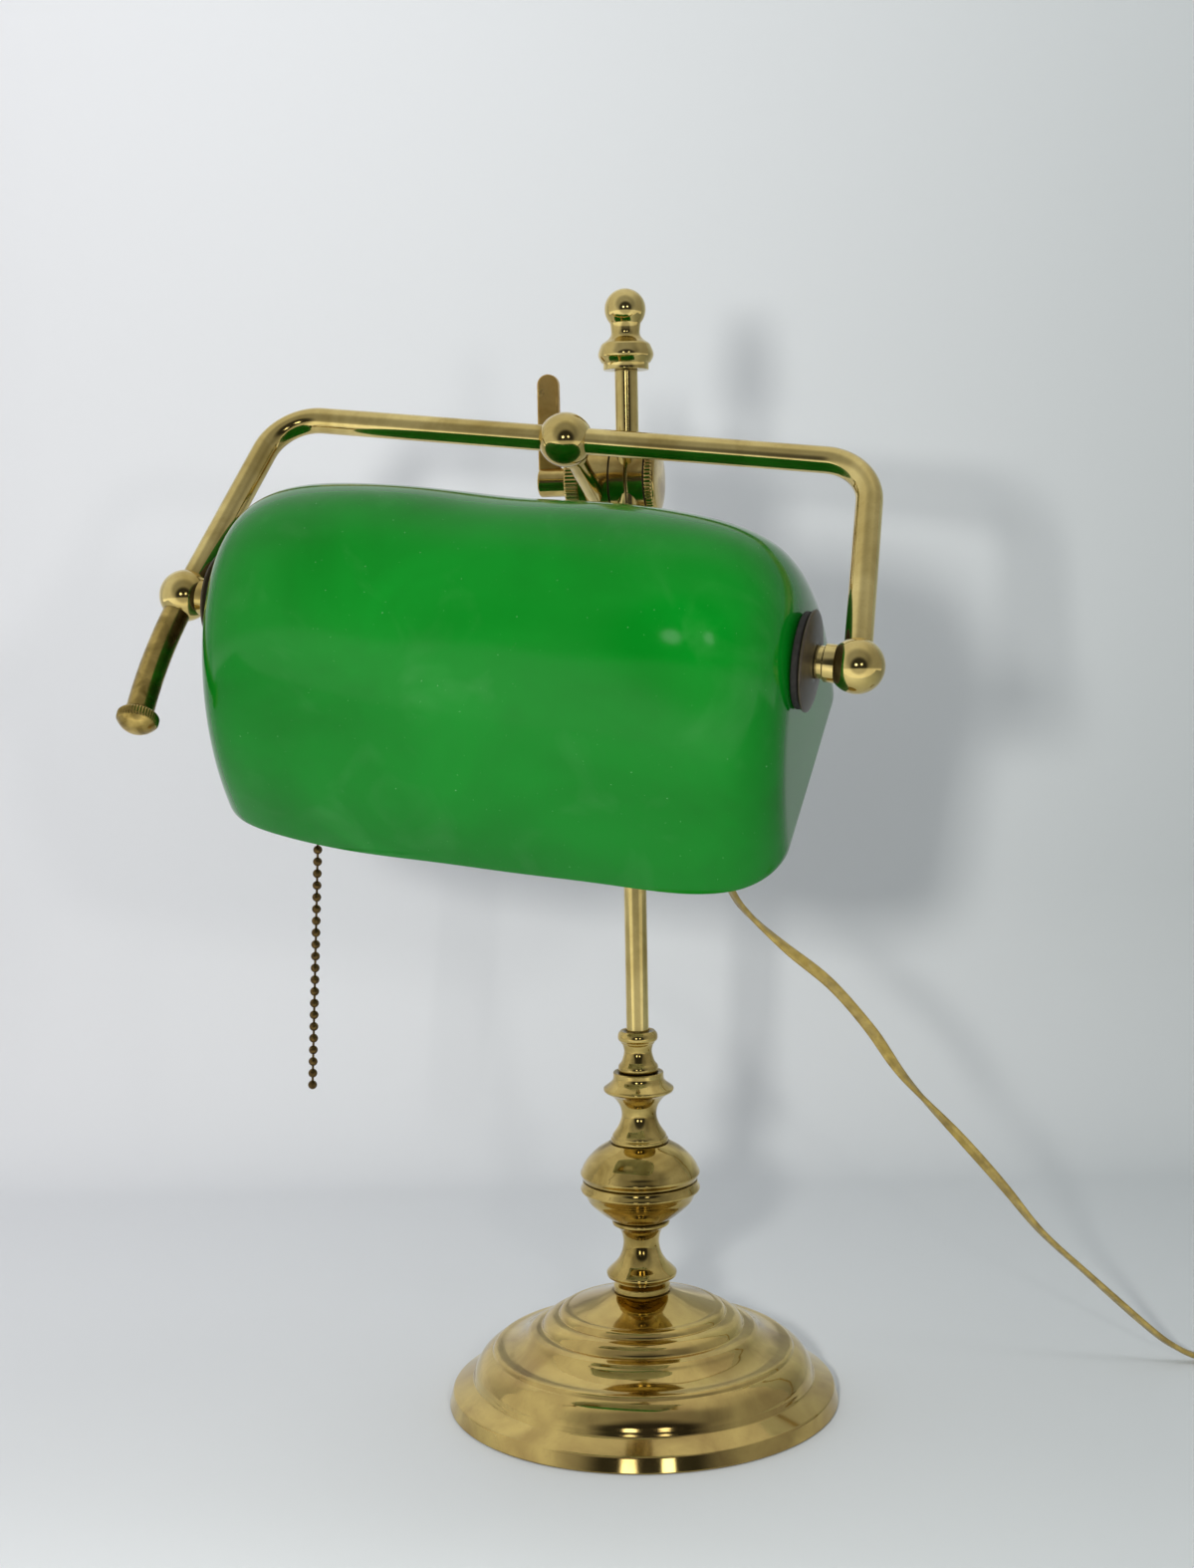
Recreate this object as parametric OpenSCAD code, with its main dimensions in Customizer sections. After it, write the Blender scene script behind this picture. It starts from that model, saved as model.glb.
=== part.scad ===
/* [Base] */
// Diameter of the round foot where it stands
base_d = 165; // [150:1:180]
// Height of the foot at its flat top
base_h = 47; // [44:0.5:50]
// Thickness of the spun brass of the foot
base_wall = 1.2; // [0.8:0.1:1.6]
// Thickness of the cork pad under the foot
pad_t = 2; // [1:0.5:3]

/* [Column] */
// Radius of the threaded rod that draws the column together
tie_r = 4; // [3:0.5:4]
// Largest radius of the bowl in the middle of the column
bowl_r = 25.3; // [23:0.1:28]
// Height of the top of the collar that holds the upright rod
collar_top = 158.5; // [156:0.5:161]

/* [Upright] */
// Radius of the polished upright rod
rod_r = 4.7; // [4:0.1:5]
// Height at which the finial sits on the rod
finial_z = 431.7; // [420:0.1:460]

/* [Clamp] */
// Height of the clamp bolt above the table
clamp_z = 387.5; // [340:0.5:410]
// Distance of the clamp bolt behind the rod's axis
bolt_y = 7.6; // [7.4:0.1:8]
// Radius of the clamp bolt
bolt_r = 2.4; // [2:0.1:2.4]
// Radius of the clamp's split collar
collar_r = 13.5; // [12.5:0.5:14]
// Radius of the drum that carries the arm
drum_r = 14; // [13:0.5:14]
// Length of the lever above the bolt
lever_len = 44.4; // [35:0.1:48]

/* [Arm and bow] */
// Radius of the arm's tube
arm_r = 4.05; // [3.8:0.05:4.3]
// Angle of the arm above level
arm_rise = 21.9; // [10:0.1:30]
// Distance of the ball joint from the drum's axis, along the arm
arm_reach = 59.2; // [58:0.1:70]
// Distance of the arm's axis below the bolt
arm_drop = 9; // [8:0.5:9]
// Radius of the brass ball in the middle of the bow
mid_ball_r = 10.6; // [10:0.1:11]
// Radius of the brass balls at the ends of the bow
ball_r = 10; // [9:0.5:11]
// Radius of the bow's tube
bow_r = 5.1; // [4.5:0.1:5.2]
// Distance from the middle ball to a corner of the bow
bow_half = 120.5; // [118:0.5:130]
// Length of a leg of the bow, from the corner to its ball
leg_len = 89.6; // [80:0.1:92]
// Outward splay of the legs
leg_splay = 7.3; // [5:0.1:12]
// Radius of the bend at a corner
bend_r = 20; // [15:1:25]
// Forward lean of the bow from upright
bow_lean = 35.4; // [25:0.1:38]
// Turn of the bow about the arm, with its right end lower
bow_turn = 7.7; // [0:0.1:8]

/* [Shade] */
// Half of the shade's length
shade_a = 112.5; // [110:0.5:116]
// Half of the shade's depth at the opening
shade_b = 66.5; // [60:0.5:68]
// Height of the shade from the opening to the crown
shade_h = 112; // [100:0.5:114]
// Height of the pins above the opening
pin_drop = 60; // [55:0.5:62]
// Squareness of the shade's ends
shade_n = 5.4; // [4:0.1:8]
// Share of the oval's length at which the ends are cut flat
end_cut = 0.98; // [0.96:0.005:0.99]
// Thickness of the glass
glass_t = 3; // [2.5:0.1:4]
// Tilt of the shade in the bow
shade_tilt = 78; // [60:1:82]
// Offset of the shade to the left between its washers
shade_off = -1; // [-1.5:0.1:0]

/* [Chain] */
// Diameter of a bead
bead_d = 3.5; // [3:0.1:4]
// Distance from one bead to the next
bead_pitch = 4.6; // [4.4:0.1:5.2]
// Number of beads
bead_n = 34; // [20:1:38]
// Lean of the hanging chain to the left
chain_lean = 3.2; // [0:0.1:4]

/* [Cord] */
// Width of the flat twin cord
cord_w = 5; // [4.5:0.1:5.5]
// Thickness of the flat twin cord
cord_h = 2.6; // [2.4:0.1:2.8]
// Outer turn of the coil, at the middle of the cord
coil_r = 37; // [36:0.1:40]
// Turns in the coil
coil_turns = 7.25; // [6:0.01:7.25]

/* [Hidden] */
$fn = 64;

run = 0.05; // running clearance between a shaft and its hole
gap = 0.1; // gap between faces that turn past each other
facets = 96; // smoothness of the turned pieces

base_r = base_d / 2;
tie_z = [4, 146];
rod_z = [147.1, finial_z];
stud_r = 3;
stud_len = 13;
rim = 0.6; // height at which the foot's edge starts above the table
over = 1; // how far a cutting body runs past what it cuts
m8_across = 8; // corner radius of the nuts

// Clamp stack along the bolt
collar_x = 6.95;
collar_slit = 1.5;
washer_t = 0.5;
washer_in = 0.9; // how far a friction disc stays inside the collar's edge
drum_w = 12.3;
nut_w = 3.4;
dome_h = 1.6; // height of the dome on the nut
ring_w = 6.35;
hub_w = 12.9;
hub_r = 6;
lever_w = 9;
lever_t = 4;
tip_w = 4.2;
tip_h = 2.1;
lever_nut_r = 12.5;
drum_hi = -collar_x - washer_t - gap;
drum_lo = drum_hi - drum_w;
ring_lo = drum_lo - gap - ring_w;
hub_lo = ring_lo - hub_w;
right_nut_x = collar_x + washer_t;
cap_x = right_nut_x + nut_w;

// Cord outlet at the back of the collar
outlet_tilt = 135;
bushing_r = 4.2;
bushing_neck = 3.1;
bushing_len = 5;
bushing_in = 4; // depth of the bushing's neck in the collar
cord_hole = 1.6;
relief_len = 22;
relief_r = [3.6, 2.9];
outlet = [0, bolt_y, clamp_z];

// Arm and bow
arm_x = (drum_lo + drum_hi) / 2;
throat_w = 3; // length of the ring at the arm's end
throat_r = 6;
throat_lap = 1.6; // how far the ring reaches back over the tube
spigot_r = 3;
spigot_len = 7.5;
tube_start = 4.1; // distance of the tube's end from the drum's axis
arm_end = arm_reach - mid_ball_r - 2;
ball_local = [-arm_reach, -arm_drop];
ball_at = [
    arm_x,
    bolt_y + ball_local[0] * cos(arm_rise) + ball_local[1] * sin(arm_rise),
    clamp_z - ball_local[0] * sin(arm_rise) + ball_local[1] * cos(arm_rise)
];
pin_z = -leg_len * cos(leg_splay);
pin_x = bow_half + leg_len * sin(leg_splay);
bend_steps = 10;
tube_sides = 24;
socket_in = 6.5;
pin_depth = 5.9; // distance of a pin's bore from the ball's middle

// Shade fittings, counted from the end face of the glass
pin_r = 5;
gasket_t = 1.2;
gasket_r = 16.2;
press = 0.02; // room left on each side of a gasket
washer_h = 3.5;
flange_x = 11.5;
flange_w = 2;
flange_r = 7.8;
neck_r = 6.4;
inner_r = 10;
inner_t = 2;
nut_h = 6;

// Lamp holder inside the shade
socket_r = 16.5;
socket_wall = 1;
socket_lip = 3;
socket_back = 6; // length of the holder's narrow back
socket_back_r = 12.5;
socket_end = -66;
socket_start = shade_off - shade_a + glass_t + 2;
guide_x = -72;
guide_len = 24;
guide_r = 2.5;
guide_mouth = 4;
lining_bore = 8;
cap_lamp_r = 13;
bulb_r = 15;
bulb_len = 78;

// Bead chain
stem_r = 1.1;
stem_len = 14;
stem_ball = 1.9;
link_r = 0.5;
link_len = 2.2; // from the stem's end to the first bead

// Points that the cord passes where it isn't coiled
route = [
    [2.6, 42, 350], [7, 48, 330], [13, 52, 300], [18.5, 53, 260], [25, 53, 230],
    [32, 53, 210], [40, 54, 199], [55, 56, 185], [74, 59, 169], [91, 61, 149], [106, 63, 127],
    [130, 67, 100], [148, 69, 79], [164, 71, 59], [184, 74, 40], [210, 78, 16], [221, 80, 7.5],
    [232, 81.5, 2.6], [247, 82.5, 1.6], [266, 83.2, 1.6]
];
coil_z = 2.3; // height of the lower layer's middle, above the tie
coil_at = [297, 83.6 + coil_r, coil_z];
turn_pitch = 5.5; // distance from one turn to the next
layer_pitch = 3.2; // distance from one layer to the next
coil_rings = 24; // rings in a turn
coil_sides = 6;
cord_sides = 8;
tail_len = 32;
plug_t = 13.7;
plug_len = 36;
plug_w = 13; // half of the plug's width
tie_w = 6;
tie_t = 0.8;
tie_span = 30;

// Catmull-Rom curve through p, with n steps a span
function cr(a, b, c, d, t) =
    0.5 * (2 * b + (c - a) * t + (2 * a - 5 * b + 4 * c - d) * t * t
        + (3 * b - a - 3 * c + d) * t * t * t);
function smooth(p, n) = concat(
    [for (i = [0 : len(p) - 2], k = [0 : n - 1])
        cr(p[max(i - 1, 0)], p[i], p[i + 1], p[min(i + 2, len(p) - 1)], k / n)],
    [p[len(p) - 1]]);
function reversed(p) = [for (i = [len(p) - 1 : -1 : 0]) p[i]];
function unit(v) = v / norm(v);
function length_of(p) = len(p) < 2 ? 0 : sum([for (i = [1 : len(p) - 1]) norm(p[i] - p[i - 1])]);
function sum(v, i = 0) = i >= len(v) ? 0 : v[i] + sum(v, i + 1);

// A turned piece: profile is a list of [radius, height] points going up, round a bore
module turned(profile, bore = 0) {
    rotate_extrude($fn = facets)
        polygon(concat([[bore, profile[0][1]]], profile, [[bore, profile[len(profile) - 1][1]]]));
}

// A rod or disc along X, from x0 to x1
module bar_x(x0, x1, r, bore = 0) {
    translate([x0, 0, 0]) rotate([0, 90, 0]) difference() {
        cylinder(r = r, h = x1 - x0);
        if (bore > 0) translate([0, 0, -over]) cylinder(r = bore, h = x1 - x0 + 2 * over);
    }
}

// A ring or, with six sides, a nut that stands on z = 0 round a bore
module collar_z(r, h, bore, sides = facets) {
    difference() {
        cylinder(r = r, h = h, $fn = sides);
        translate([0, 0, -over]) cylinder(r = bore, h = h + 2 * over);
    }
}

// A disc along X with n shallow grooves round its edge
module knurled_x(x0, x1, r, bore, n, groove) {
    difference() {
        bar_x(x0, x1, r, bore);
        for (i = [0 : n - 1]) rotate([i * 360 / n, 0, 0])
            translate([x0 - over, 0, r]) rotate([0, 90, 0])
                cylinder(r = groove, h = x1 - x0 + 2 * over, $fn = 4);
    }
}

// A bar of a round or flat section, swept along p; its width lies square to ref
function section(c, t, w, h, sides, ref) =
    let (s = unit(cross(t, ref)), n = cross(s, t))
    [for (k = [0 : sides - 1]) c + s * w / 2 * cos(k * 360 / sides) + n * h / 2 * sin(k * 360 / sides)];
module swept(p, w, h, sides, ref = [0, 0, 1]) {
    last = len(p) - 1;
    rings = [for (i = [0 : last])
        section(p[i], unit(p[min(i + 1, last)] - p[max(i - 1, 0)]), w, h, sides, ref)];
    polyhedron(
        points = [for (r = rings) each r],
        faces = concat(
            [for (i = [0 : last - 1], k = [0 : sides - 1])
                let (a = i * sides + k, b = i * sides + (k + 1) % sides) [a, b, b + sides]],
            [for (i = [0 : last - 1], k = [0 : sides - 1])
                let (a = i * sides + k, b = i * sides + (k + 1) % sides) [a, b + sides, a + sides]],
            [for (k = [1 : sides - 2]) [0, k + 1, k]],
            [for (k = [1 : sides - 2]) [last * sides, last * sides + k, last * sides + k + 1]]));
}

// Frames that the upper pieces are drawn in
module at_bolt() translate([0, bolt_y, clamp_z]) children();
module at_arm() translate([arm_x, bolt_y, clamp_z]) rotate([-arm_rise, 0, 0])
    translate([0, 0, -arm_drop]) rotate([90, 0, 0]) children();
module at_ball() translate(ball_at) rotate([-bow_lean, 0, 0]) rotate([0, bow_turn, 0]) children();
module at_pins() at_ball() translate([0, 0, pin_z]) children();
module at_shade() at_pins() rotate([shade_tilt, 0, 0]) children();
module at_outlet() translate(outlet) rotate([-outlet_tilt, 0, 0]) children();
module at_chain() at_pins() translate([guide_x, 0, 0]) rotate([bow_lean, 0, 0]) children();

// Foot: rim, first ring, bead, cove, second ring, step and dome
rim_top = base_r - 1.7;
crease_r = base_r - 10.2;
bead_r = base_r - 18.2;
shell_outer = concat(
    [[base_r, rim], [rim_top, 6.6]],
    smooth([[crease_r, 10.9], [base_r - 11.2, 13.8], [base_r - 13.4, 18], [base_r - 17.2, 21.9]], 4),
    [[bead_r, 22.6], [bead_r - 1.6, 24.1]],
    smooth([[58, 24.9], [53.5, 26.6], [48.7, 30.1], [45.4, 31.8], [43, 32.3]], 3),
    smooth([[42.3, 33.6], [40.9, 35.5], [38.2, 37], [35.6, 37.5]], 3),
    [[34.9, 38.8], [32.4, 40.2]],
    smooth([[26, 42.2], [19, 44.5], [12.5, base_h]], 2));

module base_shell() {
    inner = [for (p = reversed(shell_outer)) [p[0] - base_wall, max(p[1] - base_wall, rim)]];
    color("darkgoldenrod") rotate_extrude($fn = 128) polygon(concat(
        [[tie_r + run, base_h]], reversed(shell_outer), reversed(inner),
        [[tie_r + run, base_h - base_wall]]));
}

weight_outer = [
    [50, 12], [54, pad_t], [base_r - 13, pad_t], [base_r - 13, 8], [base_r - 16.5, 14],
    [base_r - 21.5, 19.5], [41, 28.4], [22, 33], [12, 39], [11, base_h - base_wall]
];
module base_weight() color("dimgray") turned(weight_outer, tie_r + 4 * run);
module base_pad() color("sienna") cylinder(r = base_r - 4, h = pad_t, $fn = facets);
module base_washer() color("silver") translate([0, 0, tie_z[0] + 6.5]) collar_z(11, 1.5, tie_r + run);
module base_nut() color("silver") translate([0, 0, tie_z[0] + 0.5]) collar_z(m8_across, 6, tie_r + run, 6);
module tie_rod() color("silver") translate([0, 0, tie_z[0]]) cylinder(r = tie_r, h = tie_z[1] - tie_z[0]);

// Column: profiles of turned pieces, from the foot up
module base_neck_ring() color("goldenrod")
    turned(concat([[12, base_h], [12, 49.6]], smooth([[11.2, 50.3], [10.4, 51.4], [11, 53]], 3)),
        tie_r + run);

module lower_baluster() color("goldenrod") turned(concat(
    [[13.4, 53], [14.7, 53.6], [14.9, 54.6], [14.6, 55.6]],
    smooth([[13.2, 57], [10.6, 59.6], [8.6, 63], [7.6, 67.4], [8, 71.2], [9.2, 73.8], [10.8, 75.3]], 3),
    [[12.1, 75.9], [12.2, 77.2], [11.8, 78]]), tie_r + run);

module bowl_lower() color("goldenrod") turned(concat(
    smooth([[12.2, 78], [16, 80.6], [21.2, 85.2], [23, 88.4], [23.9, 90]], 3),
    [[24.9, 90.3], [bowl_r, 91], [bowl_r, 91.9]],
    smooth([[24.8, 93], [24.2, 94.2], [24.1, 95.2]], 2)), tie_r + run);

module bowl_upper() color("goldenrod") turned(concat(
    smooth([[24.1, 95.2], [24.6, 96.8], [bowl_r - 0.2, 97.6]], 2),
    smooth([[bowl_r, 98.4], [25, 99.5], [23.9, 101.2], [21.7, 104.2], [17.8, 107.9], [12.6, 111]], 3)),
    tie_r + run);

module upper_baluster() color("goldenrod") turned(concat(
    [[11.8, 111], [12.1, 111.5], [12.1, 112.6], [11.3, 113.2], [11.5, 114]],
    smooth([[10.4, 115.6], [8.6, 118.4], [7.4, 122.4], [7.9, 126.2], [9.8, 129.4], [12, 131.4]], 3),
    [[14.2, 132.8], [14.8, 133.4], [14.8, 134.3]],
    smooth([[13.2, 135.4], [11.6, 136.7], [10.7, 137.8]], 3), [[10.6, 141]]), tie_r + run);

module rod_collar() color("goldenrod") difference() {
    turned(concat(
        smooth([[7.9, 141], [8.4, 142], [8.3, 143.6], [7.4, 144.8]], 2),
        smooth([[6.7, 146.6], [5.9, 149.6], [6.4, 152.2], [7.1, 153.4]], 2),
        smooth([[7.8, 154.2], [8.4, 155.6], [8.3, 157], [7.4, collar_top]], 3)));
    translate([0, 0, tie_z[1] - 6]) cylinder(r = tie_r + run, h = 7);
    translate([0, 0, rod_z[0] - run]) cylinder(r = rod_r + run, h = collar_top);
}

module upright_rod() color("gold") {
    translate([0, 0, rod_z[0]]) cylinder(r = rod_r, h = rod_z[1] - rod_z[0]);
    translate([0, 0, rod_z[1]]) cylinder(r = stud_r, h = stud_len);
}

// Finial: a ring, a neck and a ball
knob_r = 8.4;
knob_z = 24.4;
module finial() color("gold") translate([0, 0, finial_z]) difference() {
    union() {
        turned(concat(
            [[9.3, 0], [9.3, 2.6]],
            smooth([[10, 3], [11.2, 5.2], [11.2, 7.2], [10, 10.2]], 3),
            smooth([[9.4, 10.8], [7.2, 12.4], [5.9, 14.3], [6, 17]], 3)));
        translate([0, 0, knob_z]) sphere(r = knob_r);
    }
    translate([0, 0, -over]) cylinder(r = stud_r + run, h = stud_len + over + 2 * gap);
}

// Clamp
module clamp_collar() color("goldenrod") difference() {
    at_bolt() bar_x(-collar_x, collar_x, collar_r);
    at_bolt() bar_x(-collar_x - over, collar_x + over, bolt_r + run);
    translate([0, 0, clamp_z - 2 * collar_r]) cylinder(r = rod_r + run, h = 4 * collar_r);
    translate([-collar_slit / 2, -2 * collar_r, clamp_z - 2 * collar_r])
        cube([collar_slit, 2 * collar_r + bolt_y, 4 * collar_r]);
    at_outlet() translate([0, 0, collar_r - bushing_len])
        cylinder(r = bushing_neck + gap, h = 2 * bushing_len);
}
module clamp_bolt() color("goldenrod") at_bolt() bar_x(hub_lo + over, cap_x + dome_h / 2, bolt_r);
module clamp_washer_left() color("dimgray") at_bolt()
    bar_x(-collar_x - washer_t, -collar_x, collar_r - washer_in, bolt_r + run);
module clamp_washer_right() color("dimgray") at_bolt()
    bar_x(collar_x, right_nut_x, collar_r - washer_in, bolt_r + run);
module knurled_nut() color("goldenrod") at_bolt()
    knurled_x(right_nut_x, cap_x, drum_r, bolt_r + run, 48, 0.55);
module end_cap() color("goldenrod") at_bolt() difference() {
    translate([cap_x, 0, 0]) rotate([0, 90, 0])
        turned(smooth([[drum_r - 0.8, 0], [12.4, 0.8], [9, 1.3], [4.5, 1.5], [0.1, dome_h]], 4));
    bar_x(cap_x - over, cap_x + dome_h / 2 + gap, bolt_r + run);
}
module cord_bushing() color("black") at_outlet() difference() {
    translate([0, 0, collar_r - bushing_in]) union() {
        cylinder(r = bushing_neck, h = bushing_len);
        translate([0, 0, bushing_len - 4 * gap]) cylinder(r = bushing_r, h = bushing_in + 4 * gap);
    }
    translate([0, 0, collar_r - bushing_len]) cylinder(r = cord_hole, h = 4 * bushing_len);
}
module strain_relief() color("saddlebrown") at_outlet() translate([0, 0, collar_r + bushing_len])
    cylinder(r1 = relief_r[0], r2 = relief_r[1], h = relief_len);

// Lever
module lever_nut() color("goldenrod") at_bolt()
    knurled_x(ring_lo, ring_lo + ring_w, lever_nut_r, bolt_r + run, 44, 0.5);
module clamp_lever() color("gold") at_bolt() difference() {
    union() {
        bar_x(hub_lo, ring_lo, hub_r);
        translate([hub_lo, -lever_t / 2, 0]) cube([lever_w, lever_t, lever_len - tip_h + gap]);
        translate([hub_lo + (lever_w - tip_w) / 2, -lever_t / 2, lever_len - tip_h])
            cube([tip_w, lever_t, tip_h]);
    }
    bar_x(hub_lo + over - 2 * gap, ring_lo + over, bolt_r + run);
}

// Arm
module arm_drum() color("goldenrod") difference() {
    at_bolt() bar_x(drum_lo, drum_hi, drum_r);
    at_bolt() bar_x(drum_lo - over, drum_hi + over, bolt_r + run);
    at_arm() translate([0, 0, tube_start - gap]) cylinder(r = arm_r + run, h = 2 * drum_r);
}
module arm_tube() color("gold") at_arm() {
    translate([0, 0, tube_start]) cylinder(r = arm_r, h = arm_end - tube_start);
    translate([0, 0, arm_end]) cylinder(r = spigot_r, h = spigot_len);
}
module arm_ring() color("goldenrod") at_arm() translate([0, 0, arm_end - throat_lap]) difference() {
    cylinder(r = throat_r, h = throat_w);
    translate([0, 0, -over]) cylinder(r = arm_r + run, h = over + throat_lap + gap);
    translate([0, 0, -over]) cylinder(r = spigot_r + run, h = throat_w + 2 * over);
}

// Bow
module centre_ball() color("gold") difference() {
    at_ball() sphere(r = mid_ball_r);
    at_ball() for (side = [-1, 1]) translate([side * (socket_in - gap), 0, 0]) rotate([0, side * 90, 0])
        cylinder(r = bow_r + run, h = mid_ball_r);
    at_arm() translate([0, 0, arm_end]) cylinder(r = spigot_r + run, h = spigot_len + 2 * gap);
}
function bend(angle, r, n) = [for (i = [0 : n]) let (t = angle * i / n) [r * sin(t), 0, -r * (1 - cos(t))]];
module bow_side() {
    turn = 90 - leg_splay;
    cut = bend_r * tan(turn / 2);
    leg = [sin(leg_splay), 0, -cos(leg_splay)];
    corner = [bow_half, 0, 0];
    path = concat(
        [[socket_in, 0, 0]],
        [for (p = bend(turn, bend_r, bend_steps)) p + [bow_half - cut, 0, 0]],
        [corner + leg * (leg_len - socket_in)]);
    swept(path, 2 * bow_r, 2 * bow_r, tube_sides, [0, 1, 0]);
}
module bow_right() color("gold") at_ball() bow_side();
module bow_left() color("gold") at_ball() rotate([0, 0, 180]) bow_side();
module end_ball() difference() {
    union() {
        sphere(r = ball_r);
        bar_x(-flange_x, 0, neck_r + 0.2);
        bar_x(-flange_x, flange_w - flange_x, flange_r);
    }
    rotate([0, -leg_splay, 0]) translate([0, 0, socket_in - gap]) cylinder(r = bow_r + run, h = ball_r);
    translate([-pin_depth, 0, 0]) rotate([0, -90, 0]) cylinder(r = pin_r + run, h = ball_r);
}
module right_end_ball() color("gold") at_pins() translate([pin_x, 0, 0]) end_ball();
module left_end_ball() color("gold") at_left_ball() difference() {
    rotate([0, 0, 180]) end_ball();
    rotate([0, 180 + handle_lean, 0]) translate([0, 0, handle_in]) cylinder(r = handle_r + run, h = ball_r);
}

// Guide handle under the left ball, bent from its top lean to its end lean
handle_lean = 5.2;
handle_tuck = -7.5;
handle_len = 47;
handle_r = 5.3;
handle_in = 6.9;
cap_r = 8;
cap_ribs = 36;
handle_step = handle_len / bend_steps;
function handle_turn(i) = handle_lean + (handle_tuck - handle_lean) * i / bend_steps;
function handle_dir(i) = -[sin(handle_turn(i)), 0, cos(handle_turn(i))];
function handle_point(i) =
    i == 0 ? (handle_in + gap) * handle_dir(0) : handle_point(i - 1) + handle_step * handle_dir(i - 0.5);
handle_path = [for (i = [0 : bend_steps]) handle_point(i)];
handle_end = handle_path[bend_steps];
module at_left_ball() at_pins() translate([-pin_x, 0, 0]) children();
module handle_tube() color("darkgoldenrod") at_left_ball()
    swept(handle_path, 2 * handle_r, 2 * handle_r, tube_sides, [0, 1, 0]);
module handle_cap() color("goldenrod") at_left_ball() translate(handle_end)
    rotate([0, 180 + handle_turn(bend_steps - 0.5), 0]) difference() {
    turned(concat([[6.6, 0], [cap_r, 1.2], [cap_r, 3.6]],
        smooth([[7.2, 4.6], [5.4, 6.4], [3, 7.6], [0.1, 8]], 3)));
    for (i = [0 : cap_ribs - 1]) rotate([0, 0, i * 360 / cap_ribs]) translate([cap_r, 0, 1])
        cylinder(r = 0.45, h = 2.8, $fn = 4);
}

// Shade: a glass shell with a square-ended oval outline
shade_u = 20; // steps from the middle to an end
shade_v = 26; // steps over the crown
function shade_span(i) = end_cut * sin(90 * i / shade_u);
function shade_point(i, j, a, b, h) =
    let (u = shade_span(i), s = pow(1 - pow(abs(u), shade_n), 1 / shade_n), v = 180 * j / shade_v)
    [a / end_cut * u + shade_off, b * s * cos(v), h * s * sin(v) - pin_drop];
function shade_skin(a, b, h) = concat(
    [for (i = [-shade_u : shade_u], j = [0 : shade_v]) shade_point(i, j, a, b, h)],
    [[shade_off - a, 0, -pin_drop], [shade_off + a, 0, -pin_drop]]);
module shade_shell() {
    rows = shade_v + 1;
    cols = 2 * shade_u + 1;
    tip = rows * cols; // the point that an end's fan of faces meets in
    skin = tip + 2; // number of points in one skin
    last = (cols - 1) * rows;
    outer = concat(
        [for (i = [0 : cols - 2], j = [0 : rows - 2]) let (p = i * rows + j) [p, p + rows + 1, p + 1]],
        [for (i = [0 : cols - 2], j = [0 : rows - 2]) let (p = i * rows + j) [p, p + rows, p + rows + 1]],
        [for (j = [0 : rows - 2]) [tip, j, j + 1]],
        [for (j = [0 : rows - 2]) [tip + 1, last + j + 1, last + j]]);
    inner = [for (f = outer) [f[2] + skin, f[1] + skin, f[0] + skin]];
    front = [for (i = [0 : cols - 1]) i * rows + rows - 1];
    back = [for (i = [cols - 1 : -1 : 0]) i * rows];
    edge = concat([tip], front, [tip + 1], back);
    rim = [for (i = [0 : len(edge) - 1]) let (p = edge[i], q = edge[(i + 1) % len(edge)])
        each [[p, q, q + skin], [p, q + skin, p + skin]]];
    polyhedron(
        points = concat(shade_skin(shade_a, shade_b, shade_h),
            shade_skin(shade_a - glass_t, shade_b - glass_t, shade_h - glass_t)),
        faces = concat(outer, inner, rim));
}
module shade_glass() color("green") at_shade() difference() {
    shade_shell();
    bar_x(-pin_x, pin_x, pin_r + run);
}

// Pins and what clamps the glass on them
left_face = shade_off - shade_a;
right_face = shade_off + shade_a;
pin_end = pin_x - socket_in;
pin_tail = [8, 9]; // how far the left and the right pin reach inside the glass
module left_pin() color("goldenrod") at_pins() bar_x(-pin_end, left_face + glass_t + pin_tail[0], pin_r);
module right_pin() color("goldenrod") at_pins() bar_x(right_face - glass_t - pin_tail[1], pin_end, pin_r);
module side_x(side) mirror([side < 0 ? 1 : 0, 0, 0]) children();
module gasket(face) bar_x(face + press, face + gasket_t - press, gasket_r, pin_r + run);
module domed_washer(face) translate([face + gasket_t, 0, 0]) rotate([0, 90, 0])
    turned(smooth([[19.5, 0], [19, 0.8], [16, 2], [11, 3.1], [8, washer_h]], 3), pin_r + run);
module neck_ring(face) difference() {
    union() {
        bar_x(face + gasket_t + washer_h, pin_x - flange_x - gap, neck_r);
        bar_x(pin_x - flange_x - flange_w, pin_x - flange_x - gap, flange_r);
    }
    bar_x(face, pin_x, pin_r + run);
}
module left_gasket() color("black") at_pins() side_x(-1) gasket(-left_face);
module right_gasket() color("black") at_pins() gasket(right_face);
module left_washer() color("saddlebrown") at_pins() side_x(-1) domed_washer(-left_face);
module right_washer() color("saddlebrown") at_pins() domed_washer(right_face);
module left_neck_ring() color("goldenrod") at_pins() side_x(-1) neck_ring(-left_face);
module right_neck_ring() color("goldenrod") at_pins() neck_ring(right_face);
module inner_washer(face) bar_x(face - glass_t - inner_t, face - glass_t - gap, inner_r, pin_r + run);
module left_inner_washer() color("silver") at_pins() side_x(-1) inner_washer(-left_face);
module right_inner_washer() color("silver") at_pins() inner_washer(right_face);
module right_inner_nut() color("silver") at_pins() translate([right_face - glass_t - inner_t - nut_h, 0, 0])
    rotate([0, 90, 0]) collar_z(m8_across + 1, nut_h, pin_r + run, 6);

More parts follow.
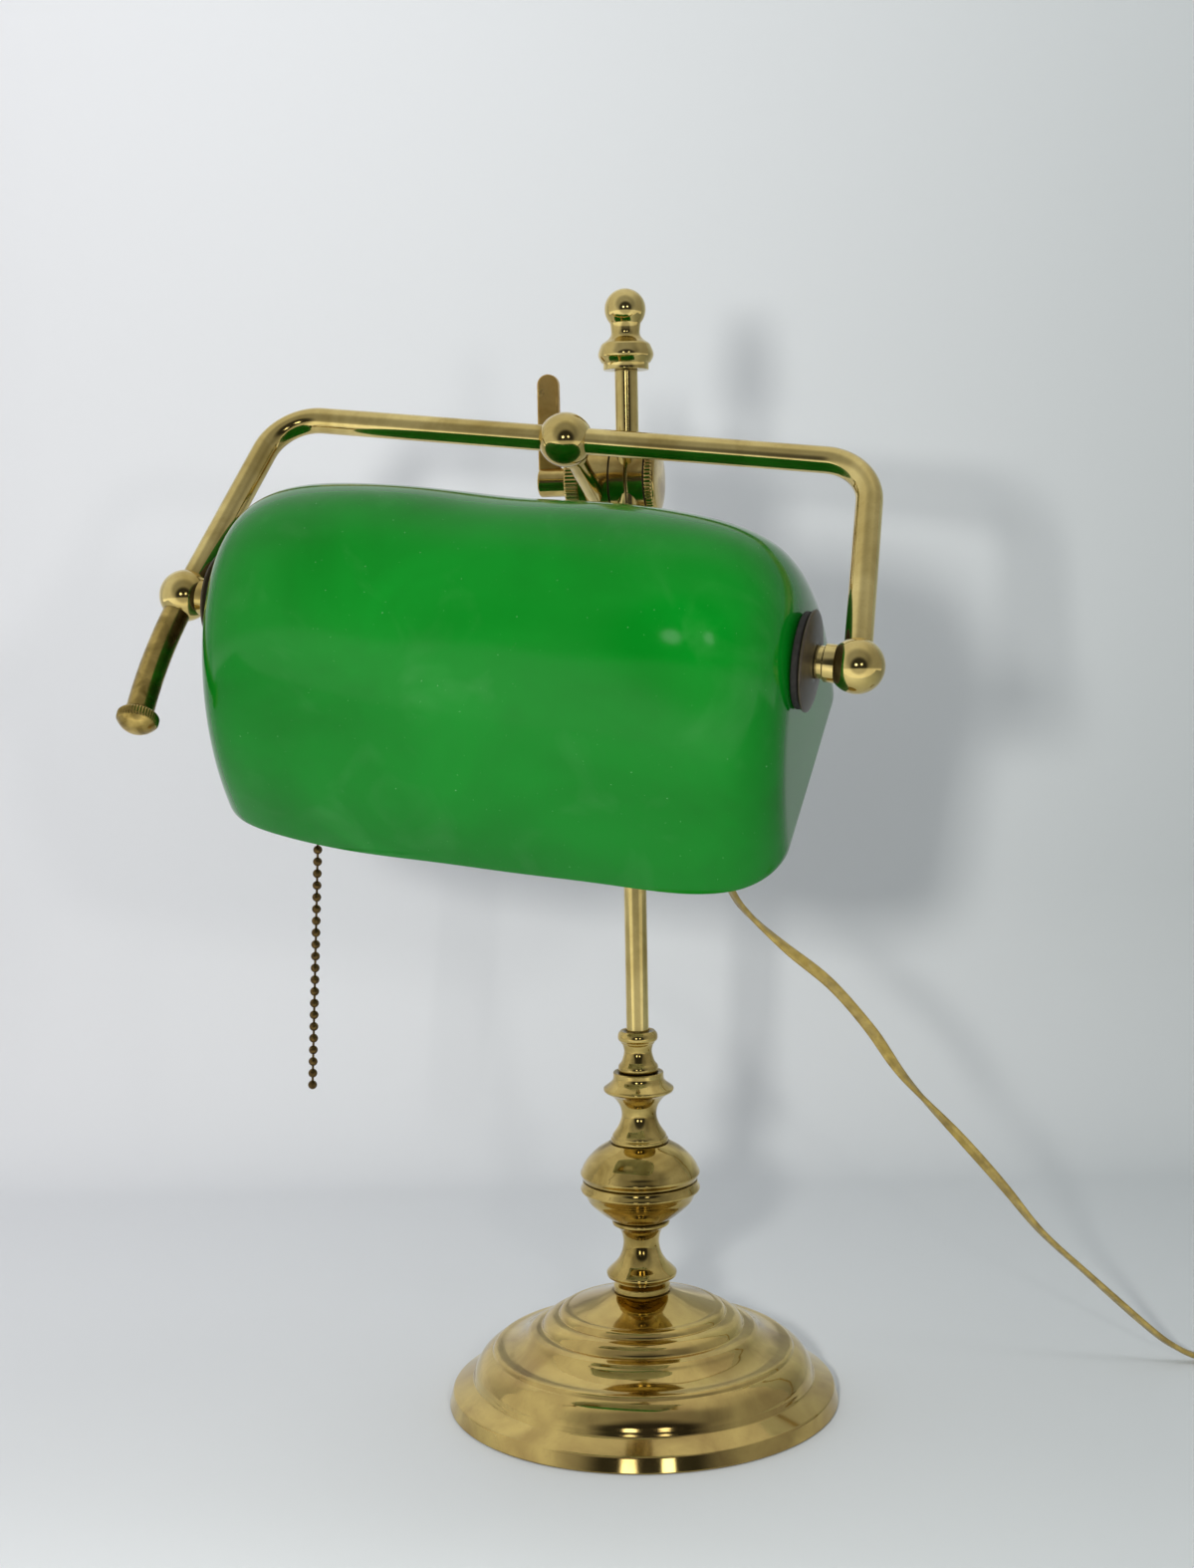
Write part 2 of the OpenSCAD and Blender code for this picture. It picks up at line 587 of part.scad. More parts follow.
// Lamp holder, with its chain outlet pointing down
module at_guide() at_pins() translate([guide_x, 0, 0]) rotate([bow_lean + 180, 0, 0]) children();
module lamp_socket() color("goldenrod") difference() {
    at_pins() union() {
        bar_x(socket_start, socket_start + socket_back, socket_back_r);
        bar_x(socket_start + socket_back - over, socket_end, socket_r);
        bar_x(socket_end - socket_lip, socket_end, socket_r + socket_wall);
    }
    at_pins() bar_x(socket_start + socket_back + 2, socket_end + over, socket_r - socket_wall);
    at_pins() bar_x(socket_start - over, socket_start + socket_back + 3, pin_r + run);
    at_guide() cylinder(r = guide_r + gap, h = guide_len);
}
module socket_insulator() color("wheat") at_pins()
    bar_x(socket_start + socket_back + 5, guide_x - 4, socket_r - socket_wall - gap, lining_bore);
module chain_guide() color("goldenrod") at_guide() difference() {
    union() {
        translate([0, 0, socket_r - 1.6]) cylinder(r = guide_r, h = guide_len - socket_r + 1.6);
        translate([0, 0, guide_len - guide_mouth / 2]) cylinder(r1 = guide_r, r2 = 3.6, h = guide_mouth);
    }
    translate([0, 0, socket_r - 3]) cylinder(r = stem_r + run, h = guide_len);
}
module bulb_cap() color("silver") at_pins() bar_x(guide_x - 2, socket_end - over, cap_lamp_r);
module bulb_glass() color("white") at_pins() translate([socket_end - over + gap, 0, 0]) rotate([0, 90, 0])
    turned(smooth([[12.4, 0], [12.8, 4], [bulb_r, 12], [bulb_r, 40], [bulb_r, 60], [13, 70], [8, 76],
        [0.4, bulb_len]], 4));

// Pull switch and its bead chain
module pull_stem() color("dimgray") at_chain() translate([0, 0, -guide_len - guide_mouth]) {
    cylinder(r = stem_r, h = stem_len);
    sphere(r = stem_ball, $fn = 32);
}
module pull_chain() {
    top = guide_len + guide_mouth + bead_d / 2 + link_len;
    drop = (bead_n - 1) * bead_pitch;
    hang = chain_lean - bow_turn * cos(bow_lean);
    color("dimgray") at_chain() translate([0, 0, -top]) rotate([0, hang, 0]) {
        for (i = [0 : bead_n - 1]) translate([0, 0, -i * bead_pitch]) sphere(d = bead_d, $fn = 24);
        translate([0, 0, -drop]) cylinder(r = link_r, h = drop);
    }
}

// Cord
relief_dir = [0, sin(outlet_tilt), cos(outlet_tilt)];
relief_end = outlet + relief_dir * (collar_r + bushing_len + relief_len);
coil_start = [coil_at[0], coil_at[1] - coil_r, coil_z];
free_route = concat(
    [relief_end + relief_dir * 2 * gap, relief_end + relief_dir * cord_w],
    route,
    [coil_start - [cord_w, 0, 0], coil_start]);
free_path = smooth(free_route, 3);

in_turns = (coil_turns - 0.5) / 2;
function coil_radius(t) =
    t < in_turns + 0.25 ? coil_r - turn_pitch * t
    : coil_r - turn_pitch * (in_turns + 0.25) + turn_pitch * (t - in_turns - 0.25);
function climb(t) = let (x = min(max((t - in_turns) * 2, 0), 1)) x * x * (3 - 2 * x);
function coil_point(t) =
    coil_at + [coil_radius(t) * sin(360 * t), -coil_radius(t) * cos(360 * t), layer_pitch * climb(t)];
coil_steps = ceil(coil_turns * coil_rings);
coil_turned = [for (i = [0 : coil_steps]) coil_point(coil_turns * i / coil_steps)];
coil_end = coil_turned[coil_steps];
tail_dir = [cos(360 * coil_turns), sin(360 * coil_turns), 0];
plug_z = plug_t / 2;
tail = [for (x = [0.25, 0.5, 0.75]) coil_end + tail_dir * tail_len * x
    + [0, 0, (plug_z - coil_end[2]) * x * x * (3 - 2 * x)]];
tail_end = coil_end + tail_dir * tail_len + [0, 0, plug_z - coil_end[2]];
coil_path = concat(
    [coil_start, coil_start + [cord_w, 0, 0]],
    [for (i = [2 : coil_steps]) coil_turned[i]],
    tail, [tail_end - tail_dir * cord_w, tail_end]);

// Least distance between turns, on points one turn or more apart, less the cord between them
function ring_gap(a, b) = norm([norm([a[0] - b[0], a[1] - b[1]]) / cord_w, (a[2] - b[2]) / cord_h]);
least = min([for (i = [0 : coil_steps], j = [i + coil_rings / 2 : coil_steps])
    let (a = coil_turned[i], b = coil_turned[min(j, coil_steps)], k = ring_gap(a, b))
    norm(a - b) * (1 - 1 / k)]);
echo(free_mm = length_of(free_path), coil_mm = length_of(coil_path), least_gap_mm = least);
echo(cord_mm = length_of(free_path) + length_of(coil_path));
echo(ball_at = ball_at, relief_end = relief_end, tail_end = tail_end, tail_dir = tail_dir);

module cord_free() color("peru") swept(free_path, cord_w, cord_h, cord_sides);
module cord_coil() color("peru") swept(coil_path, cord_w, cord_h, coil_sides);
tie_h = coil_z + layer_pitch + cord_h / 2; // inner height of the tie
module cord_tie() color("black") translate([coil_at[0], coil_at[1], 0]) rotate([0, 0, 150]) difference() {
    translate([coil_r + cord_w - tie_span, -tie_w / 2, 0]) cube([tie_span, tie_w, tie_h + 2 * tie_t]);
    translate([coil_r + cord_w - tie_span + over, -tie_w / 2 - over, tie_t])
        cube([tie_span - 2 * over, tie_w + 2 * over, tie_h]);
}
plug_half = [[0, 4], [8, 5], [16, plug_w - 1], [plug_len - 3, plug_w], [plug_len, plug_w - 1]];
module at_plug() translate(tail_end) rotate([0, 0, 360 * coil_turns]) children();
module plug_body() color("saddlebrown") at_plug() translate([0, 0, -plug_t / 2]) linear_extrude(plug_t)
    polygon(concat(plug_half, [for (p = reversed(plug_half)) [p[0], -p[1]]]));
module plug_pins() color("silver") at_plug() for (side = [-1, 1]) translate([plug_len, side * 9, 0])
    rotate([0, 90, 0]) cylinder(r = 2, h = 19);

base_shell();
base_weight();
base_pad();
base_washer();
base_nut();
tie_rod();
base_neck_ring();
lower_baluster();
bowl_lower();
bowl_upper();
upper_baluster();
rod_collar();
upright_rod();
finial();
clamp_collar();
clamp_bolt();
clamp_washer_left();
clamp_washer_right();
knurled_nut();
end_cap();
cord_bushing();
strain_relief();
lever_nut();
clamp_lever();
arm_drum();
arm_tube();
arm_ring();
centre_ball();
bow_left();
bow_right();
left_end_ball();
right_end_ball();
handle_tube();
handle_cap();
shade_glass();
left_pin();
right_pin();
left_gasket();
right_gasket();
left_washer();
right_washer();
left_neck_ring();
right_neck_ring();
left_inner_washer();
right_inner_washer();
right_inner_nut();
lamp_socket();
socket_insulator();
chain_guide();
bulb_cap();
bulb_glass();
pull_stem();
pull_chain();
cord_free();
cord_coil();
cord_tie();
plug_body();
plug_pins();
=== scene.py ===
"""Looks of a brass desk lamp with a green glass shade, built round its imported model."""
import math
import bmesh
import bpy
import numpy as np
from mathutils import Matrix, Vector


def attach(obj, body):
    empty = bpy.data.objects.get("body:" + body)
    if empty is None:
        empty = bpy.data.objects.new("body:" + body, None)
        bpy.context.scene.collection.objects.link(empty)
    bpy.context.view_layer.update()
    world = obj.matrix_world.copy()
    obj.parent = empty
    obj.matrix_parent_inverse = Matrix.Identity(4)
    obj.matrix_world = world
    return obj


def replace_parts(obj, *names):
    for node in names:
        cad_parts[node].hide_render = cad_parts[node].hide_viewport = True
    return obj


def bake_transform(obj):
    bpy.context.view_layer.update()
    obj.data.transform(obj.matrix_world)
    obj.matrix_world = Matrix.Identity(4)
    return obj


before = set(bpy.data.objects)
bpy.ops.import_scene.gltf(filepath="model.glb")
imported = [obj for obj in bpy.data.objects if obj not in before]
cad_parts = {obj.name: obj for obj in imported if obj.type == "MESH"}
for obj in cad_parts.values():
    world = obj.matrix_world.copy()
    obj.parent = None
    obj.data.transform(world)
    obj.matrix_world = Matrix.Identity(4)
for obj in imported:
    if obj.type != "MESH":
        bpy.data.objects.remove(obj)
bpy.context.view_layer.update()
MM = 0.001


# Camera: in front, a little to the right and above, as the photograph was taken
PHOTO_H = 1574
FOCAL_PX = 2190
camera = bpy.data.objects.new("camera", bpy.data.cameras.new("camera"))
bpy.context.scene.collection.objects.link(camera)
bpy.context.scene.camera = camera
camera.data.sensor_width = 36
camera.data.lens = camera.data.sensor_width * FOCAL_PX / PHOTO_H
CAMERA_AT = Vector((187.4, -881.5, 347.7)) * MM
CAMERA_YAW = math.radians(12.96)
CAMERA_PITCH = math.radians(-5.4)
CAMERA_ROLL = math.radians(-1.09)
camera.matrix_world = (Matrix.Translation(CAMERA_AT) @ Matrix.Rotation(CAMERA_YAW, 4, "Z")
                       @ Matrix.Rotation(math.pi / 2 + CAMERA_PITCH, 4, "X")
                       @ Matrix.Rotation(CAMERA_ROLL, 4, "Z"))
camera.data.clip_start = 0.01


def smooth(points, steps):
    """Catmull-Rom curve through the points, with the given number of steps a span."""
    p = np.asarray(points, float)
    p = np.vstack([p[:1], p, p[-1:]])
    t = np.linspace(0, 1, steps, endpoint=False)[None, :, None]
    a, b, c, d = (p[i:len(p) - 3 + i, None, :] for i in range(4))
    curve = 0.5 * (2 * b + (c - a) * t + (2 * a - 5 * b + 4 * c - d) * t ** 2
                   + (3 * b - a - 3 * c + d) * t ** 3)
    return np.vstack([curve.reshape(-1, p.shape[1]), p[-1]])


def resampled(path, step):
    """The same line, with its points an even step apart."""
    along = np.r_[0, np.cumsum(np.linalg.norm(np.diff(path, axis=0), axis=1))]
    want = np.linspace(0, along[-1], max(2, int(round(along[-1] / step)) + 1))
    return np.stack([np.interp(want, along, path[:, k]) for k in range(path.shape[1])], 1)


def length_of(path):
    """Sum of the distances between neighbouring points."""
    return float(np.linalg.norm(np.diff(path, axis=0), axis=1).sum())


def unit(v):
    """Vectors at length one."""
    v = np.asarray(v, float)
    return v / np.maximum(np.linalg.norm(v, axis=-1, keepdims=True), 1e-12)


def surface(name, points, body, look, close_u=False, close_v=True, caps=True, at=None, uv=None):
    """A grid of points in mm, rows along u and columns along v, as one smooth mesh.

    Where v closes, the last column joins the first; where u closes, the last row joins the first.
    Otherwise caps close the two ends with a fan round the middle of the end row. Normals are the
    sums of the neighbouring faces' cross products, so that large faces count most.
    """
    rows, cols = points.shape[:2]
    co = points.reshape(-1, 3)
    i, j = np.meshgrid(np.arange(rows if close_u else rows - 1),
                       np.arange(cols if close_v else cols - 1), indexing="ij")
    i, j = i.ravel(), j.ravel()
    i2, j2 = (i + 1) % rows, (j + 1) % cols
    quads = np.stack([i * cols + j, i * cols + j2, i2 * cols + j2, i2 * cols + j], 1)
    fans = np.zeros((0, 3), int)
    if caps and close_v and not close_u:
        k = np.arange(cols)
        k2 = (k + 1) % cols
        n = len(co)
        co = np.vstack([co, points[0].mean(0), points[-1].mean(0)])
        fans = np.vstack([np.stack([np.full(cols, n), k2, k], 1),
                          np.stack([np.full(cols, n + 1), (rows - 1) * cols + k, (rows - 1) * cols + k2], 1)])
    if at is not None:
        m = np.array(at)
        co = co @ m[:3, :3].T + m[:3, 3]
    co = co * MM
    mesh = bpy.data.meshes.new(name)
    mesh.from_pydata(co.tolist(), [], quads.tolist() + fans.tolist())
    normal = np.zeros_like(co)
    for faces in (quads, fans):
        if len(faces):
            p = co[faces]
            cross = np.cross(p[:, 2] - p[:, 0], p[:, -1] - p[:, 1 if faces.shape[1] == 4 else 0])
            if faces.shape[1] == 3:
                cross = np.cross(p[:, 1] - p[:, 0], p[:, 2] - p[:, 0])
            for k in range(faces.shape[1]):
                np.add.at(normal, faces[:, k], cross)
    if uv is not None:
        layer = mesh.uv_layers.new(name="UVMap")
        flat = np.vstack([uv.reshape(-1, 2)] + ([uv[0].mean(0), uv[-1].mean(0)] if len(fans) else []))
        corner = np.zeros(len(mesh.loops), np.int32)
        mesh.loops.foreach_get("vertex_index", corner)
        layer.data.foreach_set("uv", flat[corner].astype(np.float32).ravel())
    mesh.shade_smooth()
    mesh.normals_split_custom_set_from_vertices(unit(normal).tolist())
    return piece(name, mesh, body, look)


def piece(name, mesh, body, look):
    """An object for the mesh, with its material and its body."""
    made = bpy.data.objects.new(name, mesh)
    bpy.context.scene.collection.objects.link(made)
    mesh.materials.append(look)
    if body:
        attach(made, body)
    return made


def rounded(outline, radius, steps=4):
    """The outline with each inner corner cut by an arc-like curve that starts radius before it."""
    p = np.asarray(outline, float)
    out = [p[:1]]
    t = np.linspace(0, 1, steps + 1)[:, None]
    for a, b, c in zip(p[:-2], p[1:-1], p[2:]):
        before, after = a - b, c - b
        cut = min(radius, 0.45 * np.linalg.norm(before), 0.45 * np.linalg.norm(after))
        start, end = b + unit(before) * cut, b + unit(after) * cut
        out.append((1 - t) ** 2 * start + 2 * t * (1 - t) * b + t ** 2 * end)
    return np.vstack(out + [p[-1:]])


def turned(name, profile, body, look, at=None, around=160, loop=False):
    """A lathe piece: each (radius, height) point of the profile goes round the Z axis in a circle."""
    p = np.asarray(profile, float)
    angle = np.linspace(0, 2 * np.pi, around, endpoint=False)
    grid = np.stack([p[:, :1] * np.cos(angle), p[:, :1] * np.sin(angle),
                     np.repeat(p[:, 1:], around, 1)], -1)
    return surface(name, grid, body, look, close_u=loop, at=at)


def frames_along(path):
    """Tangent and two side vectors at each point, turned as little as possible from one to the next."""
    tangent = unit(np.gradient(path, axis=0))
    side = np.cross(tangent[0], [0, 0, 1] if abs(tangent[0][2]) < 0.9 else [0, 1, 0])
    sides = []
    for t in tangent:
        side = unit(side - t * (side @ t))
        sides.append(side)
    sides = np.array(sides)
    return tangent, sides, np.cross(tangent, sides)


def swept(name, path, radius, body, look, at=None, around=48, uv=False):
    """A round tube: a circle of the given radius, one value or one a point, carried along the path."""
    path = np.asarray(path, float)
    _, s, n = frames_along(path)
    r = np.broadcast_to(np.asarray(radius, float), (len(path),))[:, None, None]
    angle = np.linspace(0, 2 * np.pi, around, endpoint=False)[None, :, None]
    grid = path[:, None] + r * (np.cos(angle) * s[:, None] - np.sin(angle) * n[:, None])
    return surface(name, grid[:, ::-1], body, look, at=at)


def shift(x=0, y=0, z=0):
    """A move in mm."""
    return Matrix.Translation((x, y, z))


def turn(degrees, axis):
    """A turn about an axis, in degrees."""
    return Matrix.Rotation(math.radians(degrees), 4, axis)


# Frames of the upper pieces, in mm, as in the construction
CLAMP_Z, BOLT_Y = 387.5, 7.6
COLLAR_X, WASHER_T, GAP, DRUM_W, NUT_W, RING_W, HUB_W = 6.95, 0.5, 0.1, 12.3, 3.4, 6.35, 12.9
drum_hi = -COLLAR_X - WASHER_T - GAP
drum_lo = drum_hi - DRUM_W
ARM_X, ARM_RISE, ARM_DROP, ARM_REACH = (drum_lo + drum_hi) / 2, 21.9, 9, 59.2
BOW_LEAN, BOW_TURN, BOW_HALF, LEG_LEN, LEG_SPLAY, BEND_R, BOW_R = 35.4, 7.7, 120.5, 89.6, 7.3, 20, 5.1
MID_BALL_R, BALL_R = 10.6, 10
SHADE_TILT = 78
PIN_X = BOW_HALF + LEG_LEN * math.sin(math.radians(LEG_SPLAY))
ALONG_X = turn(90, "Y")
at_bolt = shift(0, BOLT_Y, CLAMP_Z)
at_arm = shift(ARM_X, BOLT_Y, CLAMP_Z) @ turn(-ARM_RISE, "X") @ shift(0, 0, -ARM_DROP) @ turn(90, "X")
at_ball = (shift(*(at_arm @ Vector((0, 0, ARM_REACH)))) @ turn(-BOW_LEAN, "X") @ turn(BOW_TURN, "Y"))
at_pins = at_ball @ shift(0, 0, -LEG_LEN * math.cos(math.radians(LEG_SPLAY)))
at_shade = at_pins @ turn(SHADE_TILT, "X")
at_left_ball = at_pins @ shift(-PIN_X)
at_right_ball = at_pins @ shift(PIN_X)


def linear(code):
    """An sRGB hex colour as the linear colour that Blender works in."""
    c = np.array([int(code[k:k + 2], 16) for k in (1, 3, 5)]) / 255
    return (*np.where(c <= 0.04045, c / 12.92, ((c + 0.055) / 1.055) ** 2.4).tolist(), 1)


def add(look, kind, inputs=None, **settings):
    """Adds a shader node, with its settings, and its inputs set or linked."""
    made = look.node_tree.nodes.new("ShaderNode" + kind)
    for key, value in settings.items():
        setattr(made, key, value)
    for key, value in (inputs or {}).items():
        if isinstance(value, bpy.types.NodeSocket):
            look.node_tree.links.new(value, made.inputs[key])
        else:
            made.inputs[key].default_value = value
    return made


def ramp(look, factor, *stops):
    """A colour ramp's colour for the factor; each stop is a place and a colour or a grey."""
    made = add(look, "ValToRGB", {"Fac": factor})
    while len(made.color_ramp.elements) < len(stops):
        made.color_ramp.elements.new(0.5)
    for element, (place, colour) in zip(made.color_ramp.elements, stops):
        element.position = place
        element.color = linear(colour) if isinstance(colour, str) else (colour, colour, colour, 1)
    return made.outputs["Color"]


def blank(name):
    """A material with only its output, and that output."""
    look = bpy.data.materials.new(name)
    look.use_nodes = True
    look.node_tree.nodes.clear()
    return look, add(look, "OutputMaterial")


def finish_with(look, out, shader):
    """Joins the shader to the material's output."""
    look.node_tree.links.new(shader, out.inputs["Surface"])
    return look


def noise(look, size_mm, detail=3.0, stretch=(1, 1, 1), distortion=0.0, roughness=0.5):
    """Noise whose features are about size_mm across; stretch squeezes them along an axis."""
    place = add(look, "TexCoord").outputs["Object"]
    scaled = add(look, "Mapping", {"Vector": place, "Scale": stretch})
    return add(look, "TexNoise", {"Vector": scaled.outputs["Vector"], "Scale": 1 / (size_mm * MM),
                                  "Detail": detail, "Distortion": distortion,
                                  "Roughness": roughness}).outputs["Fac"]


def mix(look, factor, a, b):
    """Colour b over colour a by the factor."""
    made = add(look, "Mix", data_type="RGBA")
    look.node_tree.links.new(factor, made.inputs["Factor"])
    for socket, value in ((made.inputs[6], a), (made.inputs[7], b)):
        if isinstance(value, bpy.types.NodeSocket):
            look.node_tree.links.new(value, socket)
        else:
            socket.default_value = linear(value)
    return made.outputs[2]


def brass(name, bright, dull, rough, tarnish_mm, tarnish, lines=None, line_height=0.0):
    """Lacquered brass: bright metal, clouded with duller tarnish; in its grooves, found by ambient occlusion, a
    painted shade of dark brown that also stands for tarnish there, with a rougher gloss.

    Clouds are noise of tarnish_mm; lines are the tool's fine marks, noise squeezed along one axis.
    """
    look, out = blank(name)
    clouds = noise(look, tarnish_mm, 5, distortion=0.6)
    specks = noise(look, tarnish_mm / 9, 4, roughness=0.7)
    amount = ramp(look, clouds, (0.5 - tarnish, 0.0), (0.5 + tarnish, 1.0))
    worn = ramp(look, specks, (0.52, 0.0), (0.72, 0.7))
    # Painted shade: ambient occlusion darkens the grooves and recesses, also standing for tarnish in them
    groove_shade_and_tarnish = ramp(look, add(look, "AmbientOcclusion", {"Distance": 2.5 * MM}, samples=4).outputs["AO"],
                  (0.35, 1.0), (0.8, 0.0))
    colour = mix(look, amount, bright, dull)
    colour = mix(look, add(look, "Math", {0: worn, 1: 0.35}, operation="MULTIPLY").outputs[0], colour, dull)
    # The painted groove shade and tarnish: dark brown over the colour where the occlusion is strongest
    colour = mix(look, add(look, "Math", {0: groove_shade_and_tarnish, 1: 0.7}, operation="MULTIPLY").outputs[0], colour, "#4A3A1A")
    gloss = add(look, "MapRange", {"Value": amount, "To Min": rough, "To Max": rough * 1.9}).outputs["Result"]
    gloss = add(look, "Math", {0: gloss, 1: add(look, "Math", {0: groove_shade_and_tarnish, 1: 0.25}, operation="MULTIPLY").outputs[0]},
                operation="ADD").outputs[0]
    scratch = noise(look, 0.8, 6, roughness=0.7)
    bump = add(look, "Bump", {"Height": scratch, "Strength": 0.06, "Distance": 0.05 * MM}).outputs["Normal"]
    if lines:
        marks = noise(look, 30, 4, stretch=lines, roughness=0.6)
        bump = add(look, "Bump", {"Height": marks, "Strength": line_height, "Distance": 0.05 * MM,
                                  "Normal": bump}).outputs["Normal"]
    shader = add(look, "BsdfPrincipled", {"Base Color": colour, "Metallic": 1.0, "Roughness": gloss, "Normal": bump})
    return finish_with(look, out, shader.outputs["BSDF"])


def solid(name, colour, other, rough, grain_mm, bump_mm=0.02, metallic=0.0, ior=1.5, coat=0.0, stretch=(1, 1, 1)):
    """A plain moulded, cast or painted finish: two close colours in a noise of grain_mm, with a like bump."""
    look, out = blank(name)
    grain = noise(look, grain_mm, 5, stretch=stretch, roughness=0.6)
    shade = mix(look, ramp(look, grain, (0.35, 0.0), (0.65, 1.0)), colour, other)
    gloss = add(look, "MapRange", {"Value": grain, "To Min": rough * 0.85, "To Max": min(1, rough * 1.15)})
    bump = add(look, "Bump", {"Height": grain, "Strength": 0.5, "Distance": bump_mm * MM})
    inputs = {"Base Color": shade, "Metallic": metallic, "Roughness": gloss.outputs["Result"],
              "Normal": bump.outputs["Normal"], "Coat Weight": coat}
    if not metallic:
        inputs["IOR"] = ior
    return finish_with(look, out, add(look, "BsdfPrincipled", inputs).outputs["BSDF"])


# Brass that was polished and lacquered: yellow, mirror-like, with faint cloudy tarnish
polished_brass = brass("lacquered_polished_brass", "#EAD58E", "#B8A05C", 0.06, 22, 0.2)
# Spun sheet brass of the foot: a rosier, duller metal with the spinning tool's rings
spun_brass = brass("spun_sheet_brass", "#DEC477", "#B0945A", 0.05, 26, 0.2, (0.05, 0.05, 12), 0.04)
# Brass turned on a lathe for the column: bright, with fine rings, and a painted shade of dark brown in the grooves
# that also stands for tarnish
turned_brass = brass("turned_brass", "#DEC478", "#988044", 0.05, 14, 0.2, (0.05, 0.05, 20), 0.04)
# Drawn brass tube of the handle that hands have worn: mottled and darker
aged_brass = brass("aged_drawn_brass", "#CBB066", "#857038", 0.16, 7, 0.18)
# Cast and machined brass of the clamp: satin, with a painted shade of dark brown in the knurling that also stands for
# tarnish
clamp_brass = brass("machined_cast_brass", "#DDC47C", "#A08448", 0.1, 10, 0.2)
# Flat brass bar, brushed along its length
brushed_brass = brass("brushed_brass_bar", "#DDBA70", "#AE8848", 0.27, 12, 0.2, (40, 40, 0.4), 0.25)
# Dull brown enamel on a pressed steel washer
brown_enamel = solid("dull_brown_enamel", "#2C261D", "#3A3226", 0.38, 3)
# Natural rubber, matte and nearly black
black_rubber = solid("black_rubber", "#161514", "#22201E", 0.7, 1.5)
# Pressed fibre of the friction discs, a dry dark line between brass pieces
dark_fibre = solid("pressed_fibre", "#1E1A14", "#2C261E", 0.8, 1)
# Bronzed steel of the bead chain: dark brown with small yellow glints
dark_bronze = solid("bronzed_chain", "#4A3C26", "#7A6238", 0.33, 1.2, 0.01, 1.0)
# Zinc plate on washers and nuts
zinc_plate = solid("zinc_plate", "#A8A9A6", "#BDBEBA", 0.35, 2, 0.01, 1.0)
# Cast iron of the weight, rough and grey
cast_iron = solid("cast_iron", "#3E3B38", "#4C4946", 0.75, 1.2, 0.1)
# Pressed cork of the pad, brown grains
cork = solid("pressed_cork", "#8A6544", "#6A4A30", 0.9, 1.5, 0.15)
# Glazed porcelain of the holder's lining
porcelain = solid("glazed_porcelain", "#EAE4D4", "#E2DAC8", 0.15, 6, 0.01)
# Bright aluminium of the lamp's cap
bright_cap = solid("bright_aluminium", "#C9CACB", "#B9BABB", 0.25, 2, 0.01, 1.0)
# Opal glass of the lamp, soft white
opal_glass = solid("opal_lamp_glass", "#F2F0E8", "#ECE9DF", 0.3, 20, 0.01)
# Clear gold PVC over the copper strands of the flex: a satin brown gold
gold_flex = solid("gold_pvc_flex", "#A08C4A", "#7C6A34", 0.34, 5, 0.03, coat=0.3)
# Brown Bakelite of the plug and the relief, satin from its mould
brown_bakelite = solid("brown_bakelite", "#4A3424", "#3E2A1C", 0.32, 4)
# Nickel plated brass of the plug's pins
pin_metal = solid("plated_pin", "#C9B98A", "#B5A574", 0.25, 2, 0.01, 1.0)
# Black nylon of the cable tie
black_nylon = solid("black_nylon", "#1A1A1A", "#242424", 0.45, 2)


def cased_glass():
    """Green glass over opal: light scatters a little below the gloss, with dust specks and faint streaks."""
    look, out = blank("green_cased_glass")
    clouds = noise(look, 60, 3, stretch=(1, 1, 1.4), distortion=0.5)
    green = mix(look, ramp(look, clouds, (0.3, 0.0), (0.7, 1.0)), "#056D18", "#035F11")
    dust = ramp(look, noise(look, 0.9, 2), (0.755, 0.0), (0.80, 0.55))
    haze = ramp(look, noise(look, 35, 5, distortion=1.0), (0.55, 0.0), (0.9, 0.05))
    both = add(look, "Math", {0: dust, 1: haze}, operation="ADD").outputs[0]
    colour = mix(look, both, green, "#9CC8A0")
    gloss = add(look, "MapRange", {"Value": both, "To Min": 0.11, "To Max": 0.4}).outputs["Result"]
    shader = add(look, "BsdfPrincipled", {"Base Color": colour, "Roughness": gloss, "IOR": 1.3,
                                          "Subsurface Weight": 0.1, "Subsurface Scale": 2 * MM})
    shader.inputs["Subsurface Radius"].default_value = (0.3, 1.0, 0.4)
    return finish_with(look, out, shader.outputs["BSDF"])


def opal_lining():
    """The white opal skin inside the green glass: glossy milk white."""
    return solid("opal_lining", "#EEF2EA", "#E6ECE2", 0.08, 30, 0.01)


green_glass, lining = cased_glass(), opal_lining()
edge_glass = solid("ground_glass_edge", "#1E6A34", "#35804A", 0.2, 2)


# Cord: the same route as the construction's, in mm
RELIEF_TILT, COLLAR_R, BUSHING_LEN, RELIEF_LEN = 135, 13.5, 5, 22
CORD_W, CORD_H = 5.0, 2.6
outlet_dir = np.array([0, math.sin(math.radians(RELIEF_TILT)), math.cos(math.radians(RELIEF_TILT))])
relief_end = np.array([0, BOLT_Y, CLAMP_Z]) + outlet_dir * (COLLAR_R + BUSHING_LEN + RELIEF_LEN)
ROUTE = [
    [2.6, 42, 350], [7, 48, 330], [13, 52, 300], [18.5, 53, 260], [25, 53, 230],
    [32, 53, 210], [40, 54, 199], [55, 56, 185], [74, 59, 169], [91, 61, 149], [106, 63, 127],
    [130, 67, 100], [148, 69, 79], [164, 71, 59], [184, 74, 40], [210, 78, 16], [221, 80, 7.5],
    [232, 81.5, 2.6], [247, 82.5, 1.6], [266, 83.2, 1.6]]
COIL_R, COIL_TURNS, COIL_Z = 37, 7.25, 2.3
TURN_PITCH, LAYER_PITCH, TAIL_LEN, PLUG_T = 5.5, 3.2, 32, 13.7
COIL_AT = np.array([297, 83.6 + COIL_R, COIL_Z])
RINGS_A_TURN = 24


